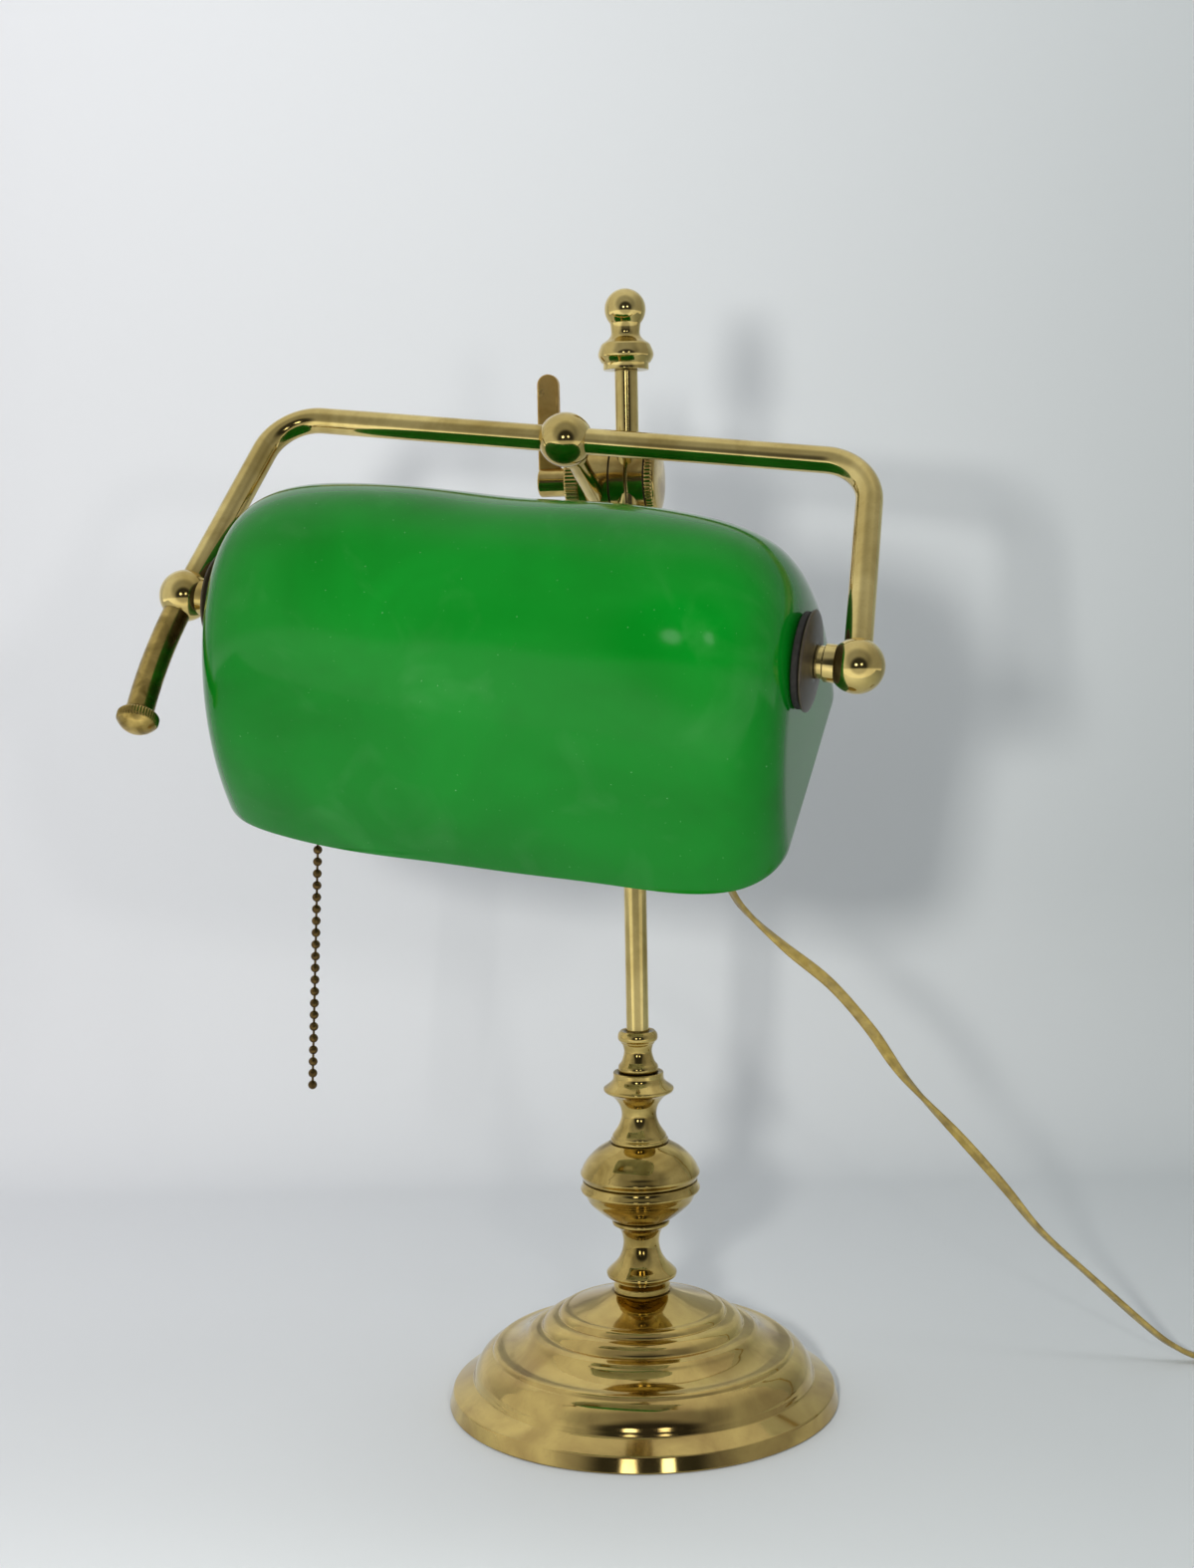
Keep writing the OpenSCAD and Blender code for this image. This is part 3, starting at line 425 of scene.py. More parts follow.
def coil_path():
    """Spirals in and out again: the radius falls by a pitch a turn, then grows, and climbs a layer between."""
    inward = (COIL_TURNS - 0.5) / 2
    t = np.linspace(0, COIL_TURNS, int(math.ceil(COIL_TURNS * RINGS_A_TURN)) + 1)
    back = inward + 0.25
    radius = np.where(t < back, COIL_R - TURN_PITCH * t, COIL_R - TURN_PITCH * back + TURN_PITCH * (t - back))
    climb = np.clip((t - inward) * 2, 0, 1)
    climb = climb ** 2 * (3 - 2 * climb)
    angle = 2 * np.pi * t
    return COIL_AT + np.stack([radius * np.sin(angle), -radius * np.cos(angle), LAYER_PITCH * climb], 1)


def tail_path(end):
    """From the coil's last turn straight on, rising in a smooth step to the middle of the plug."""
    angle = 2 * math.pi * COIL_TURNS
    ahead = np.array([math.cos(angle), math.sin(angle), 0])
    x = np.linspace(0, 1, 9)[1:, None]
    rise = np.array([0, 0, PLUG_T / 2 - end[2]])
    return end + ahead * TAIL_LEN * x + rise * (x ** 2 * (3 - 2 * x)), ahead


coil = coil_path()
tail, tail_dir = tail_path(coil[-1])
coil_start = COIL_AT - [0, COIL_R, 0]
free = smooth([relief_end, relief_end + outlet_dir * CORD_W] + [np.array(p, float) for p in ROUTE]
              + [coil_start - [CORD_W, 0, 0], coil_start], 8)
flex_line = resampled(np.vstack([free, coil[1:], tail]), 2.2)


def twin_flex(path):
    """Flat twin cord: a section of two round cores with a web, turned about the path as the real one twists.

    The section's radius is the larger of two circles set apart along its width and a web between them.
    """
    along = np.r_[0, np.cumsum(np.linalg.norm(np.diff(path, axis=0), axis=1))]
    tangent = unit(np.gradient(path, axis=0))
    side = unit(np.cross(tangent, [0, 0, 1]))
    lift = np.cross(side, tangent)
    free_len = length_of(free)
    in_air = np.clip((free_len - 60 - along) / 60, 0, 1) * np.clip(along / 60, 0, 1)
    twist = in_air * (1.1 * np.sin(along / 47) + 0.8 * np.sin(along / 23 + 1))
    w = side * np.cos(twist)[:, None] + lift * np.sin(twist)[:, None]
    h = -side * np.sin(twist)[:, None] + lift * np.cos(twist)[:, None]
    a = np.linspace(0, 2 * np.pi, 20, endpoint=False)
    core = CORD_H / 2
    apart = CORD_W / 2 - core
    x = np.sign(np.cos(a)) * apart * np.abs(np.cos(a)) ** 0.6 + core * np.cos(a)
    z = core * np.sin(a) * (1 - 0.28 * np.exp(-(x / 0.55) ** 2))
    return path[:, None] + x[None, :, None] * w[:, None] + z[None, :, None] * h[:, None]


flex = surface("flex", twin_flex(flex_line)[:, ::-1], None, gold_flex)
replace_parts(flex, "cord_free", "cord_coil")
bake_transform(flex)


# Foot and column: the turned profiles, as (radius, height) in mm
BASE_R, BASE_H, BASE_WALL, TIE_R, BOWL_R = 82.5, 47, 1.2, 4.05, 25.3
FINE = 8
foot_outer = np.vstack([
    rounded([[BASE_R - 0.4, 0.3], [BASE_R, 0.7], [BASE_R - 1.7, 6.6], [BASE_R - 10.2, 10.9], [BASE_R - 10.6, 12.4]], 0.6),
    smooth([[71.7, 12.9], [70.9, 15.5], [69, 18.7], [66.6, 21], [64.5, 22.3]], FINE),
    smooth([[64, 22.5], [63.7, 22.9], [63.2, 23.6], [62.4, 24.1], [61.6, 24.3]], 4),
    smooth([[61, 24.4], [58, 24.9], [53.5, 26.6], [50.2, 28.7], [48.7, 30.1]], FINE),
    rounded([[48.5, 30.3], [47.4, 31.2], [45, 32], [43, 32.3], [42.6, 32.7]], 0.5),
    smooth([[42.4, 33.3], [41.2, 35.1], [38.9, 36.6], [36.6, 37.3], [35.7, 37.4]], FINE),
    smooth([[35.4, 37.6], [34.9, 38.6], [33.9, 39.6], [32.3, 40.2], [31.4, 40.3]], 4),
    smooth([[31, 40.4], [26, 42.1], [19, 44.4], [12.5, BASE_H]], FINE)])
foot_inner = foot_outer[::-1] - BASE_WALL
foot_inner[:, 1] = np.maximum(foot_inner[:, 1], 0.6)
foot = turned("foot", np.vstack([foot_outer, [[TIE_R, BASE_H], [TIE_R, BASE_H - BASE_WALL]], foot_inner]),
              "base", spun_brass, around=288, loop=True)
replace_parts(foot, "base_shell")


def column_piece(name, node, profile):
    """A bored piece of the column: the profile goes round with its bore's wall closing it."""
    p = np.asarray(profile, float)
    made = turned(name, np.vstack([[[TIE_R, p[0, 1]]], p, [[TIE_R, p[-1, 1]]]]), "base",
                  turned_brass, loop=True)
    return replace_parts(made, node)


column_piece("foot_neck", "base_neck_ring", np.vstack([
    rounded([[11.6, 47], [12, 47.4], [12, 49.6], [11.2, 50.3]], 0.3), smooth([[10.9, 50.6], [10.4, 51.4], [11, 53]], FINE)]))
column_piece("baluster_low", "lower_baluster", np.vstack([
    rounded([[13.2, 53], [14.6, 53.5], [14.9, 54.4], [14.8, 55.3], [13.8, 56.4]], 0.5),
    smooth([[13.2, 57], [10.6, 59.6], [8.6, 63], [7.6, 67.4], [8, 71.2], [9.2, 73.8], [10.8, 75.3]], FINE),
    rounded([[11.2, 75.5], [12, 75.9], [12.2, 76.8], [11.8, 78]], 0.3)]))
column_piece("bowl_low", "bowl_lower", np.vstack([
    smooth([[12.2, 78], [16, 80.6], [21.2, 85.2], [23, 88.4], [23.8, 89.9]], FINE),
    rounded([[24.1, 90.1], [BOWL_R - 0.3, 90.5], [BOWL_R, 91.4], [BOWL_R - 0.4, 92.3], [24.3, 93.4], [24.1, 95.2]], 0.5)]))
column_piece("bowl_high", "bowl_upper", np.vstack([
    rounded([[24.1, 95.2], [24.3, 96.2], [BOWL_R - 0.4, 97.1], [BOWL_R, 98.1], [BOWL_R - 0.4, 99], [24.6, 99.6]], 0.5),
    smooth([[24.4, 100], [23.6, 101.6], [21.7, 104.2], [17.8, 107.9], [12.6, 111]], FINE)]))
column_piece("baluster_high", "upper_baluster", np.vstack([
    rounded([[11.8, 111], [12.1, 111.5], [12.1, 112.6], [11.3, 113.2], [11.4, 114]], 0.3),
    smooth([[10.9, 114.8], [8.6, 118.4], [7.4, 122.4], [7.9, 126.2], [9.8, 129.4], [12, 131.4]], FINE),
    rounded([[12.6, 131.8], [14.3, 132.7], [14.8, 133.3], [14.8, 134.2], [13.6, 135.1]], 0.5),
    smooth([[13.2, 135.4], [11.6, 136.7], [10.8, 137.8]], FINE),
    rounded([[10.7, 138.2], [10.6, 139], [10.6, 140.7], [10.3, 141]], 0.3)]))
column_piece("collar", "rod_collar", np.vstack([
    smooth([[7.9, 141], [8.4, 142], [8.3, 143.6], [7.4, 144.8]], FINE),
    smooth([[6.9, 145.6], [6.1, 148.2], [5.9, 150.2], [6.4, 152.4], [7.1, 153.4]], FINE),
    smooth([[7.3, 153.9], [8.2, 154.8], [8.4, 156], [8.1, 157.4], [7.2, 158.5]], FINE)]))

ROD_R, FINIAL_Z = 4.7, 431.7
rod = turned("rod", rounded([[0.05, 147.1], [ROD_R, 147.1], [ROD_R, FINIAL_Z], [0.05, FINIAL_Z]], 0.2), "upright",
             polished_brass, around=96)
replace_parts(rod, "upright_rod")


def ball_arc(r, centre, start, end, steps=40):
    """Points on a circle's right half, from the angle start to end in degrees above level."""
    a = np.radians(np.linspace(start, end, steps))
    return np.stack([np.maximum(r * np.cos(a), 0.02), centre + r * np.sin(a)], 1)


finial = turned("finial_knob", np.vstack([
    rounded([[0.05, 0], [9.3, 0], [9.3, 2.6]], 0.3), smooth([[10, 3], [11.2, 5.2], [11.2, 7.2], [10, 10.2]], FINE),
    smooth([[9.4, 10.8], [7.2, 12.4], [5.9, 14.3], [6, 17]], FINE), ball_arc(8.4, 24.4, -42, 90)]),
    "upright", polished_brass, at=shift(0, 0, FINIAL_Z))
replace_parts(finial, "finial")

# Bow, its balls, the arm's tube and the guide handle
ball = turned("middle_ball", ball_arc(MID_BALL_R, 0, -90, 90, 80), "bow", polished_brass, at=at_ball)
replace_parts(ball, "centre_ball")


def arc_of(angle, r, steps):
    """A circle's arc that leaves the origin along X and bends down by the angle, in degrees."""
    t = np.radians(np.linspace(0, angle, steps))
    return np.stack([r * np.sin(t), np.zeros_like(t), -r * (1 - np.cos(t))], 1)


def bow_half(name, node, at):
    """One half of the bow: straight, an arc of BEND_R at the corner, and the splayed leg."""
    bend = 90 - LEG_SPLAY
    start = BOW_HALF - BEND_R * math.tan(math.radians(bend / 2))
    leg = np.array([math.sin(math.radians(LEG_SPLAY)), 0, -math.cos(math.radians(LEG_SPLAY))])
    line = np.vstack([[[6.5, 0, 0]], arc_of(bend, BEND_R, 28) + [start, 0, 0],
                      [np.array([BOW_HALF, 0, 0]) + leg * (LEG_LEN - 6.5)]])
    made = swept(name, resampled(line, 1.4), BOW_R, "bow", polished_brass, at=at)
    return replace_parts(made, node)


bow_half("bow_right_tube", "bow_right", at_ball)
bow_half("bow_left_tube", "bow_left", at_ball @ turn(180, "Z"))
END_NECK = np.vstack([ball_arc(BALL_R, 0, -90, 48, 60), rounded(
    [[6.9, 7.3], [6.9, 11.3], [6.5, 11.5], [0.05, 11.5]], 0.4)])
for side, at, node in (("right", at_right_ball @ turn(-90, "Y"), "right_end_ball"),
                       ("left", at_left_ball @ turn(90, "Y"), "left_end_ball")):
    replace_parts(turned(side + "_ball", END_NECK, "bow", polished_brass, at=at), node)

HANDLE_LEAN, HANDLE_TUCK, HANDLE_LEN, HANDLE_R, HANDLE_IN = 5.2, -7.5, 47, 5.3, 6.9
HANDLE_STEPS = 40


def handle_path():
    """A gentle arc: its direction turns evenly from the top lean to the end lean, outwards to inwards."""
    a = np.radians(np.linspace(HANDLE_LEAN, HANDLE_TUCK, 2 * HANDLE_STEPS + 1))
    ways = -np.stack([np.sin(a), 0 * a, np.cos(a)], 1)
    start = (HANDLE_IN + GAP) * ways[0]
    return np.vstack([start, start + np.cumsum(ways[1::2], 0) * HANDLE_LEN / HANDLE_STEPS])


handle_line = handle_path()
handle = swept("handle", resampled(handle_line, 1.2), HANDLE_R, "bow", aged_brass, at=at_left_ball)
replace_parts(handle, "handle_tube")


def ribbed(name, profile, ribs, depth, body, look, at=None):
    """A lathe piece with V ribs round its widest part: there the radius falls by a triangle wave of the angle."""
    p = np.asarray(profile, float)
    angle = np.linspace(0, 2 * np.pi, ribs * 6, endpoint=False)
    wave = 2 * np.abs((angle * ribs / (2 * np.pi)) % 1 - 0.5)
    wide = np.clip((p[:, :1] - p[:, 0].max() + depth * 1.5) / (depth * 1.5), 0, 1)
    r = p[:, :1] - depth * wide * wave
    grid = np.stack([r * np.cos(angle), r * np.sin(angle), np.repeat(p[:, 1:], len(angle), 1)], -1)
    return surface(name, grid, body, look, at=at)


CAP_R = 8
cap = ribbed("handle_knob", np.vstack([
    rounded([[0.05, 0], [6.4, 0], [7.3, 0.4], [CAP_R, 1.2]], 0.4), [[CAP_R, 1.8], [CAP_R, 2.6], [CAP_R, 3.4]],
    smooth([[7.7, 3.9], [7.2, 4.6], [5.4, 6.4], [3, 7.6], [0.05, 8]], FINE)]), 44, 0.45, "bow",
    aged_brass, at=at_left_ball @ Matrix.Translation(handle_line[-1]) @ turn(180 + HANDLE_TUCK, "Y"))
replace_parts(cap, "handle_cap")

ARM_R, SPIGOT_R = 4.05, 3
ARM_END = ARM_REACH - MID_BALL_R - 2
arm = turned("arm", rounded([[0.05, 4.1], [ARM_R, 4.1], [ARM_R, ARM_END], [SPIGOT_R, ARM_END], [SPIGOT_R, ARM_END + 7.5],
                             [0.05, ARM_END + 7.5]], 0.2), "arm", polished_brass, at=at_arm, around=72)
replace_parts(arm, "arm_tube")
ring = turned("arm_collar", rounded([[ARM_R, 0], [6, 0], [6, 3], [SPIGOT_R, 3]], 0.6, 6), "arm",
              polished_brass, at=at_arm @ shift(0, 0, ARM_END - 1.6), loop=True)
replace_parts(ring, "arm_ring")

# Clamp: drum, split collar, ribbed nuts and end cap on the bolt
DRUM_R, DOME_H = 14, 1.6
ring_lo = drum_lo - GAP - RING_W
cap_x = COLLAR_X + WASHER_T + NUT_W
rib_nut = ribbed("ribbed_nut", rounded(
    [[2.45, 0], [DRUM_R - 0.7, 0], [DRUM_R, 0.7], [DRUM_R, NUT_W - 0.7], [DRUM_R - 0.7, NUT_W], [2.45, NUT_W]], 0.3),
    56, 0.55, "nut", clamp_brass, at=at_bolt @ shift(COLLAR_X + WASHER_T) @ ALONG_X)
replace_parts(rib_nut, "knurled_nut")
lever_ring = ribbed("lever_ring", rounded(
    [[2.45, 0], [11.7, 0], [12.5, 0.8], [12.5, RING_W - 0.8], [11.7, RING_W], [2.45, RING_W]], 0.3),
    50, 0.5, "lever", clamp_brass, at=at_bolt @ shift(ring_lo) @ ALONG_X)
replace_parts(lever_ring, "lever_nut")
end = turned("nut_cap", np.vstack([[[0.05, 0]], smooth(
    [[13.2, 0], [12.4, 0.8], [9, 1.3], [4.5, 1.5], [0.05, DOME_H]], FINE)]), "nut", clamp_brass,
    at=at_bolt @ shift(cap_x) @ ALONG_X)
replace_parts(end, "end_cap")


def softened(name, node, body, look, edge_mm, segments=3):
    """A machined piece as it was constructed, with its sharp edges broken by a small round bevel."""
    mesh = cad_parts[node].data.copy()
    mesh.name = name
    mesh.materials.clear()
    tidy = bmesh.new()
    tidy.from_mesh(mesh)
    bmesh.ops.remove_doubles(tidy, verts=tidy.verts, dist=0.002 * MM)
    bmesh.ops.dissolve_limit(tidy, angle_limit=math.radians(0.5), verts=tidy.verts, edges=tidy.edges)
    tidy.to_mesh(mesh)
    tidy.free()
    if "custom_normal" in mesh.attributes:
        mesh.attributes.remove(mesh.attributes["custom_normal"])
    mesh.shade_smooth()
    made = piece(name, mesh, body, look)
    bevel = made.modifiers.new("edges", "BEVEL")
    bevel.width = edge_mm * MM
    bevel.segments = segments
    bevel.limit_method = "ANGLE"
    bevel.angle_limit = math.radians(32)
    bevel.harden_normals = True
    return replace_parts(made, node)


softened("drum", "arm_drum", "arm", clamp_brass, 0.5)
softened("split_collar", "clamp_collar", "clamp", clamp_brass, 0.4)
LEVER_LEN, LEVER_W, HUB_R = 44.4, 9, 6


def lever_bar():
    """A flat bar with half-round ends: the outline of a stadium, drawn in a little towards both flat faces."""
    a = np.linspace(0, np.pi, 25)
    top, low = LEVER_LEN - LEVER_W / 2, 0.0
    rows = []
    for inset, y in ((0.9, -2), (0.5, -1.96), (0.15, -1.75), (0, -1.4), (0, 1.4), (0.15, 1.75), (0.5, 1.96), (0.9, 2)):
        r = LEVER_W / 2 - inset
        outline = np.vstack([np.stack([r * np.cos(a), top + r * np.sin(a)], 1),
                             np.stack([-r * np.cos(a), low - r * np.sin(a)], 1)])
        rows.append(np.stack([outline[:, 0] + LEVER_W / 2, np.full(len(outline), y), outline[:, 1]], 1))
    return surface("lever", np.array(rows)[:, ::-1], "lever", brushed_brass,
                   at=at_bolt @ shift(ring_lo - HUB_W))


lever = lever_bar()
hub = turned("lever_hub", rounded([[2.45, 0.2], [HUB_R - 0.6, 0.2], [HUB_R, 0.8], [HUB_R, HUB_W - 0.5],
                                   [HUB_R - 0.4, HUB_W - 0.05], [2.45, HUB_W - 0.05]], 0.4),
             "lever", clamp_brass, at=at_bolt @ shift(ring_lo - HUB_W) @ ALONG_X, around=96, loop=True)
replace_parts(lever, "clamp_lever")
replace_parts(hub, "clamp_lever")

# Washers, gaskets and neck rings at the shade's ends
SHADE_A, SHADE_B, SHADE_H, PIN_DROP = 112.5, 66.5, 112, 60
SHADE_N, END_CUT, GLASS_T, SHADE_OFF, PIN_R = 5.4, 0.98, 3, -1, 5
FLANGE_X = 11.5
NECK_END = PIN_X - FLANGE_X - GAP
for side, sign, rubber_h in (("left", -1, 1.2), ("right", 1, 2.8)):
    dome_top = rubber_h + 3.1
    face = SHADE_A + sign * SHADE_OFF
    at = at_pins @ (ALONG_X if sign > 0 else turn(-90, "Y"))
    at_face = at @ shift(0, 0, face)
    neck = NECK_END - face
    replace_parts(turned(side + "_rubber", rounded([[PIN_R, 0.05], [16.6, 0.05], [17.5, 0.4], [17.5, rubber_h - 0.5],
                                                  [16.9, rubber_h], [PIN_R, rubber_h]], 0.4),
                       "shade", black_rubber, at=at_face, loop=True), side + "_gasket")
    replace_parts(turned(side + "_dome", np.vstack([
        [[PIN_R, rubber_h + 0.05]], rounded([[16.6, rubber_h + 0.1], [18.3, rubber_h + 0.5], [18.5, rubber_h + 1.1],
                                             [17.8, rubber_h + 1.5], [14.5, rubber_h + 2.3], [11, rubber_h + 2.8],
                                             [8, dome_top]], 1.5, 6), [[PIN_R, dome_top]]]),
                       "bow", brown_enamel, at=at_face, loop=True), side + "_washer")
    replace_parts(turned(side + "_neck", rounded([[PIN_R, dome_top], [6, dome_top], [6, neck], [PIN_R, neck]], 0.2),
                       "bow", polished_brass, at=at_face, loop=True), side + "_neck_ring")


# Shade: green glass outside, opal inside
ROUND_FROM = 38


def end_profile(a, b_share):
    """Half-length and the share of the section left: a square-ended oval, its cut end joined by a round."""
    u = END_CUT * np.sin(np.linspace(0, np.pi / 2, 60))
    s = (1 - u ** SHADE_N) ** (1 / SHADE_N)
    x = a / END_CUT * u
    line = np.stack([x, s * b_share], 1)
    ahead = unit(line[ROUND_FROM] - line[ROUND_FROM - 1])
    run = (x[-1] - line[ROUND_FROM, 0]) / ahead[0]
    r = run / math.tan(math.acos(-ahead[1]) / 2)
    t = np.linspace(math.asin(-ahead[1]), np.pi / 2, 24)
    corner = [x[-1] - r, line[ROUND_FROM, 1] + run * (ahead[1] - 1)] + r * np.stack([np.sin(t), np.cos(t)], 1)
    flat = np.linspace(corner[-1], [x[-1], 0.02], 12)[1:]
    return np.vstack([line[:ROUND_FROM], corner, flat])


def shade_skin(a, b, h, wave, around=96):
    """Half an oval over the opening, scaled by the end profile along X.

    Round it, the point goes over the crown from the back rim to the front one. A slow sine ripple in and
    out, where wave is set, is the slump of blown glass.
    """
    half = end_profile(a, b)
    x = np.r_[-half[::-1, 0], half[1:, 0]][:, None]
    s = np.r_[half[::-1, 1], half[1:, 1]][:, None] / b
    v = np.linspace(0, np.pi, around)[None, :]
    ripple = wave * (np.sin(x / 19 + 2.1 * np.sin(2 * v)) * np.sin(3.3 * v + 0.6) + 0.6 * np.sin(x / 11 + 4 * v) - 1.6)
    ripple = ripple * np.clip(s, 0, 1) ** 2
    return np.stack([x + SHADE_OFF + 0 * v, (b * s + ripple) * np.cos(v), (h * s + ripple) * np.sin(v) - PIN_DROP], -1)


def glass_shade():
    """Outer skin, rim, inner skin and rim again as one loop of columns, closed along the opening."""
    outer = shade_skin(SHADE_A, SHADE_B, SHADE_H, 0.42)
    inner = shade_skin(SHADE_A - GLASS_T, SHADE_B - GLASS_T, SHADE_H - GLASS_T, 0.0)[:, ::-1]
    k = np.linspace(0, 1, 7)[None, 1:-1, None]
    bulge = np.array([0, 0, -1]) * 0.0

    def rim(a, b):
        """The edge from one skin to the other, flat."""
        return a[:, None] * (1 - k) + b[:, None] * k + bulge
    grid = np.concatenate([outer, rim(outer[:, -1], inner[:, 0]), inner, rim(inner[:, -1], outer[:, 0])], 1)
    made = surface("shade", grid, "shade", green_glass, at=at_shade)
    made.data.materials.append(lining)
    made.data.materials.append(edge_glass)
    cols = grid.shape[1]
    n = outer.shape[1]
    column = np.arange(cols)
    kind = np.where((column >= n + 4) & (column < 2 * n + 4), 1, np.where((column >= n - 1), 2, 0))
    slots = np.zeros(len(made.data.polygons), np.int32)
    per_row = np.tile(kind, grid.shape[0] - 1)
    slots[:len(per_row)] = per_row
    made.data.polygons.foreach_set("material_index", slots)
    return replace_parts(made, "shade_glass")


shade = glass_shade()

# Bead chain: hollow beads on short links, the last bead closing it
BEAD_D, BEAD_PITCH, BEAD_N, GUIDE_X, GUIDE_LEN, CHAIN_LEAN = 3.5, 4.6, 34, -72, 24, 3.2
at_chain = at_pins @ shift(GUIDE_X) @ turn(BOW_LEAN, "X")
CHAIN_TOP = GUIDE_LEN + 4 + BEAD_D / 2 + 2.2


def bead_chain():
    """A lathe profile repeated down the chain: an arc for each bead, drawn in at both ends to the thin link."""
    link = 0.45
    edge = math.degrees(math.acos(link / (BEAD_D / 2)))
    bead = ball_arc(BEAD_D / 2, 0, -edge, edge, 11)
    last = (BEAD_N - 1) * BEAD_PITCH
    rows = np.vstack([[[0.02, -BEAD_D / 2 - last]]] + [bead + [0, -last + k * BEAD_PITCH] for k in range(BEAD_N)]
                     + [[[link, BEAD_D / 2 + 2]], [[0.02, BEAD_D / 2 + 2]]])
    hang = at_chain @ shift(0, 0, -CHAIN_TOP) @ turn(CHAIN_LEAN - BOW_TURN * math.cos(math.radians(BOW_LEAN)), "Y")
    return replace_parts(turned("bead_chain", rows, "chain", dark_bronze, at=hang, around=16), "pull_chain")


chain = bead_chain()

# Strain relief, plug and pins
at_outlet = shift(0, BOLT_Y, CLAMP_Z) @ turn(-RELIEF_TILT, "X")
relief_z = COLLAR_R + BUSHING_LEN
ribs_z = np.arange(5, RELIEF_LEN - 3, 2.4)
z = np.linspace(0, RELIEF_LEN, 120)
r = 3.6 - 0.7 * z / RELIEF_LEN - 0.35 * np.exp(-((z[:, None] - ribs_z) / 0.45) ** 2).sum(1)
relief = turned("relief", np.vstack([[[0.05, 0]], np.stack([r, z], 1), [[0.05, RELIEF_LEN]]]), "clamp",
                brown_bakelite, at=at_outlet @ shift(0, 0, relief_z), around=48)
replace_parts(relief, "strain_relief")

at_plug = Matrix.Translation(tail[-1]) @ turn(360 * COIL_TURNS, "Z")


def plug_shell():
    """A flat two-pin plug: a superellipse section whose half-width and half-height change along its length."""
    x = np.array([0, 0.4, 4, 8, 12, 16, 20, 28, 33, 35.4, 36])
    w = np.array([2.4, 3.9, 4.3, 5, 8, 11.6, 12.8, 13, 13, 12.4, 11.6])
    h = np.array([2.0, 3.4, 3.7, 4.2, 5.4, 6.4, 6.8, 6.8, 6.8, 6.3, 5.6])
    fine = np.linspace(0, 36, 90)
    w, h = np.interp(fine, x, w), np.interp(fine, x, h)
    kernel = np.ones(5) / 5
    w, h = (np.convolve(np.pad(q, 2, mode="edge"), kernel, "valid") for q in (w, h))
    a = np.linspace(0, 2 * np.pi, 64, endpoint=False)
    c, s = np.cos(a), np.sin(a)
    p = 2 / 3.4
    y = np.sign(c) * np.abs(c) ** p
    up = np.sign(s) * np.abs(s) ** p
    grid = np.stack([np.repeat(fine[:, None], 64, 1), w[:, None] * y, h[:, None] * up], -1)
    return surface("plug", grid, "upright", brown_bakelite, at=at_plug)


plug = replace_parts(plug_shell(), "plug_body")

# What stays as it was constructed, with its finish
finishes = {
    "base_weight": cast_iron, "base_pad": cork, "base_washer": zinc_plate, "base_nut": zinc_plate,
    "tie_rod": zinc_plate, "clamp_bolt": clamp_brass, "clamp_washer_left": dark_fibre,
    "clamp_washer_right": dark_fibre, "cord_bushing": black_rubber, "left_pin": polished_brass,
    "right_pin": polished_brass, "left_inner_washer": zinc_plate, "right_inner_washer": zinc_plate,
    "right_inner_nut": zinc_plate, "lamp_socket": clamp_brass, "socket_insulator": porcelain,
    "chain_guide": clamp_brass, "bulb_cap": bright_cap, "bulb_glass": opal_glass, "pull_stem": dark_bronze,
    "cord_tie": black_nylon, "plug_pins": pin_metal}
for node, look in finishes.items():
    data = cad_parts[node].data
    data.materials.clear()
    data.materials.append(look)


# Studio: pale table that curves up into a pale wall, under a bright ceiling with two soft boxes
def pale(name, left, right, reach):
    """Matte paper with a painted falloff of light: its colour darkens from the left to the right.

    The camera sees through its back, so that the paper doesn't hide the object from behind.
    """
    look, out = blank(name)
    place = add(look, "SeparateXYZ", {"Vector": add(look, "TexCoord").outputs["Object"]})
    # Painted falloff of light: the position along X mixes the lighter left colour into the darker right one
    across = add(look, "MapRange", {"Value": place.outputs["X"], "From Min": -reach, "From Max": reach})
    colour = mix(look, across.outputs["Result"], left, right)
    shader = add(look, "BsdfPrincipled", {"Base Color": colour, "Roughness": 0.55, "Specular IOR Level": 0.3})
    from_behind = add(look, "Math", {0: add(look, "NewGeometry").outputs["Backfacing"],
                                     1: add(look, "LightPath").outputs["Is Camera Ray"]}, operation="MULTIPLY")
    both = add(look, "MixShader", {0: from_behind.outputs[0], 1: shader.outputs["BSDF"],
                                   2: add(look, "BsdfTransparent").outputs["BSDF"]})
    return finish_with(look, out, both.outputs["Shader"])


def sweep_of_paper():
    """Table, quarter-round and wall as one strip: level, an arc, then upright; turned to face the camera."""
    front, foot_y, bend, top = -420.0, 470.0, 150.0, 900.0
    a = np.linspace(0, np.pi / 2, 24)[1:]
    y = np.r_[np.linspace(front, foot_y - bend, 20), foot_y - bend + bend * np.sin(a), foot_y, foot_y]
    up = np.r_[np.zeros(20), bend * (1 - np.cos(a)), top / 2, top]
    x = np.linspace(-1500, 1500, 30)
    grid = np.stack([np.repeat(x[None], len(y), 0), np.repeat(y[:, None], 30, 1), np.repeat(up[:, None], 30, 1)], -1)
    # The paper's two colours: lighter at the left and darker at the right, a painted falloff of light
    return surface("studio_paper", grid, None, pale("pale_paper", "#E6E8EC", "#BEC5C6", 0.45),
                   close_v=False, caps=False, at=turn(13, "Z"))


paper = sweep_of_paper()


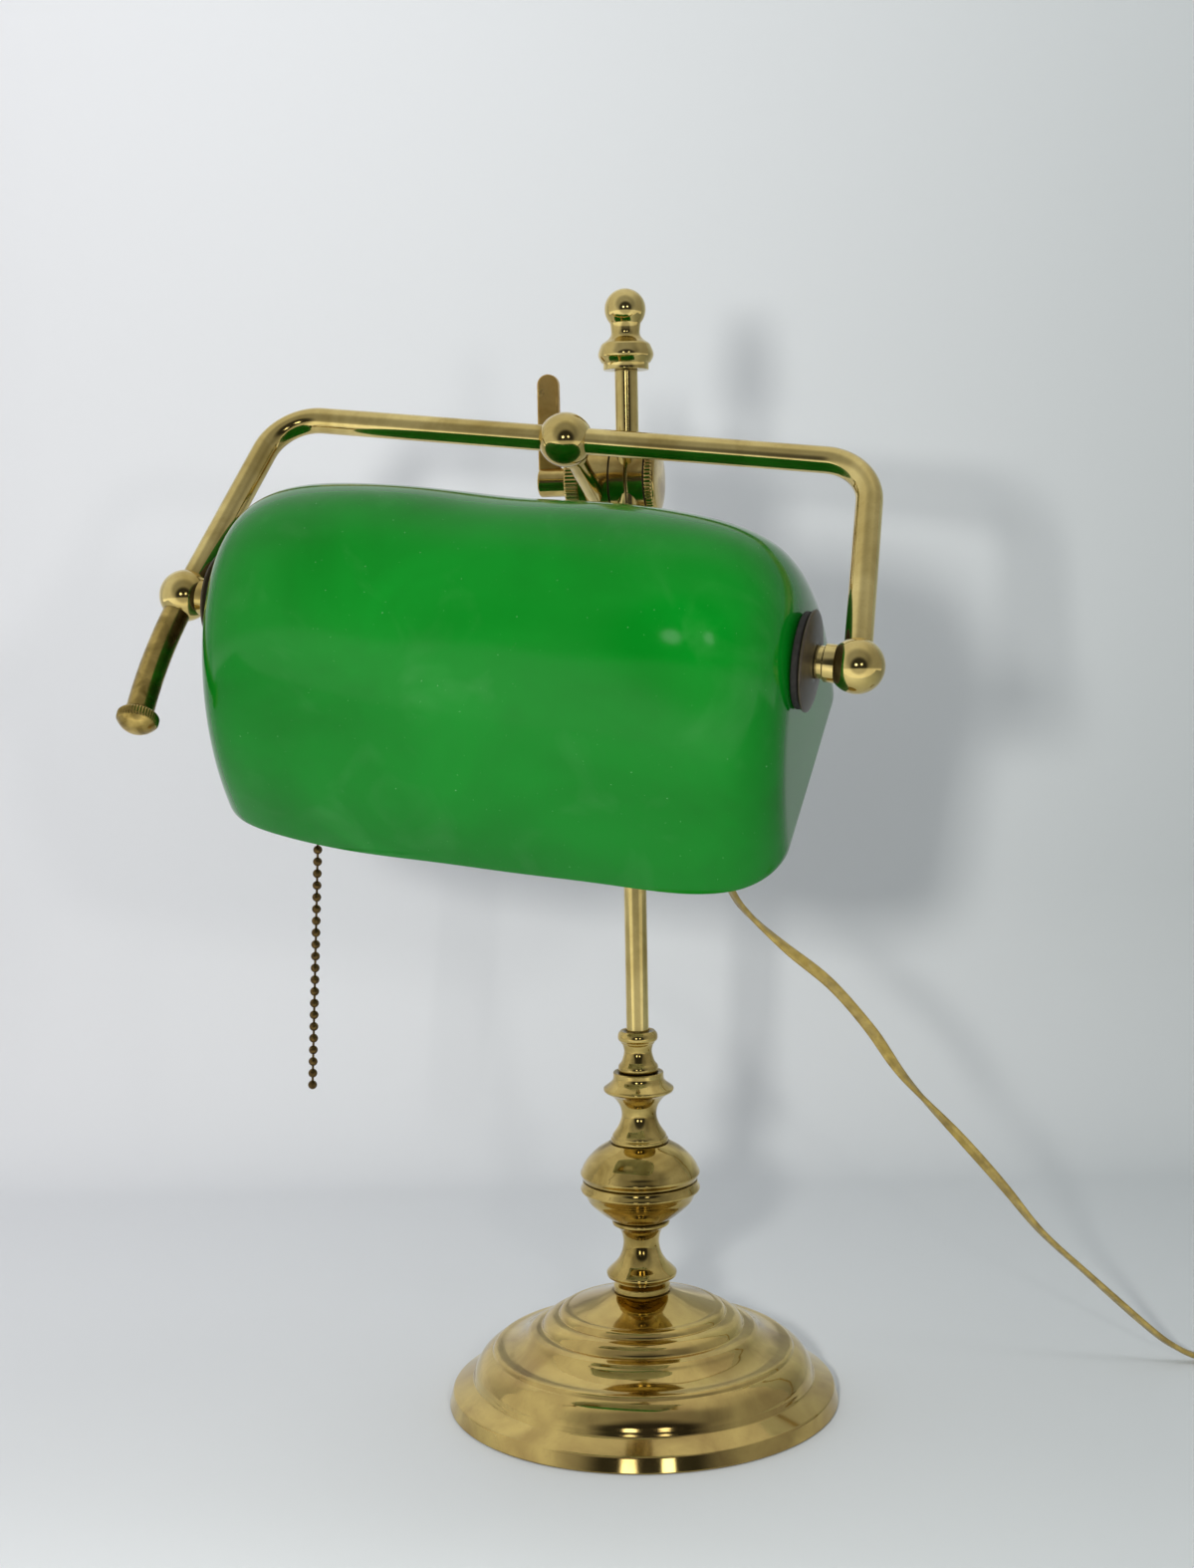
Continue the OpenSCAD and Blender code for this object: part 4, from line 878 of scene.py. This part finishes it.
def softbox(name, at, aim, size, radiance, colour="#FFFFFF", unseen=False):
    """A rectangular area lamp that faces the point it is aimed at; radiance 1 is a white surface's.

    An unseen lamp stands for light from a wide ceiling: it lights, but its outline is not mirrored.
    """
    data = bpy.data.lights.new(name, "AREA")
    data.shape = "RECTANGLE"
    data.size, data.size_y = size
    data.energy = radiance * math.pi * size[0] * size[1]
    data.color = linear(colour)[:3]
    lamp = bpy.data.objects.new(name, data)
    bpy.context.scene.collection.objects.link(lamp)
    lamp.visible_glossy = not unseen
    lamp.location = Vector(at)
    lamp.rotation_euler = (Vector(aim) - Vector(at)).to_track_quat("-Z", "Y").to_euler()
    return lamp


softbox("left_of_camera", (0.045, -0.92, 0.385), (0, 0.1, 0.25), (0.06, 0.06), 640, "#FFFCF6", unseen=True)
softbox("right_of_camera", (0.362, -0.845, 0.42), (0, 0.1, 0.2), (0.04, 0.05), 190, "#FFFCF6", unseen=True)
softbox("above_left", (-0.3, -0.1, 1.0), (-0.25, 0.45, 0.2), (0.3, 0.2), 4, unseen=True)
softbox("above_right", (0.22, -0.1, 1.0), (0.1, 0.45, 0.2), (0.3, 0.2), 4, unseen=True)


def room():
    """The room's light by direction: bright above and at the left, darker in front and at the right.

    Two small windows and the pale table in front are mirrored in the brass. The camera sees one pale tone.
    """
    world = bpy.data.worlds.new("room")
    bpy.context.scene.world = world
    world.use_nodes = True
    world.node_tree.nodes.clear()
    way = add(world, "TexCoord").outputs["Generated"]

    def lobe(towards, edge, core, low, high):
        """From low to high as the direction nears the one given; edge and core are cosines of angles from it."""
        near = add(world, "VectorMath", {0: way, 1: tuple(Vector(towards).normalized())}, operation="DOT_PRODUCT")
        return add(world, "MapRange", {"Value": near.outputs["Value"], "From Min": edge, "From Max": core,
                                       "To Min": low, "To Max": high}, interpolation_type="SMOOTHSTEP").outputs["Result"]
    strength = lobe((0.2, -0.86, 0.42), 0.45, 0.8, 0.78, 0.38)
    dark = lobe((0.22, -0.87, 0.05), 0.74, 0.9, 1.0, 0.12)
    right = lobe((1, 0.2, 0), 0.2, 0.9, 1.0, 0.5)
    for shade_of in (dark, right):
        strength = add(world, "Math", {0: strength, 1: shade_of}, operation="MULTIPLY").outputs[0]
    table = add(world, "MapRange", {"Value": add(world, "SeparateXYZ", {"Vector": way}).outputs["Z"],
                                    "From Min": -0.1, "From Max": -0.18, "To Max": 0.6}).outputs["Result"]
    strength = add(world, "Math", {0: strength, 1: table}, operation="ADD").outputs[0]
    for window in (lobe((0.045, -0.92, 0.12), 0.9955, 0.9985, 0.0, 4.5), lobe((0.4, -0.86, 0.14), 0.997, 0.999, 0.0, 4.0)):
        strength = add(world, "Math", {0: strength, 1: window}, operation="ADD").outputs[0]
    seen = add(world, "Mix", {0: add(world, "LightPath").outputs["Is Camera Ray"], 2: strength, 3: 0.78},
               data_type="FLOAT").outputs[0]
    shader = add(world, "Background", {"Color": linear("#F4F5F6"), "Strength": seen})
    out = add(world, "OutputWorld")
    world.node_tree.links.new(shader.outputs["Background"], out.inputs["Surface"])


room()
bpy.context.scene.view_settings.view_transform = "Standard"
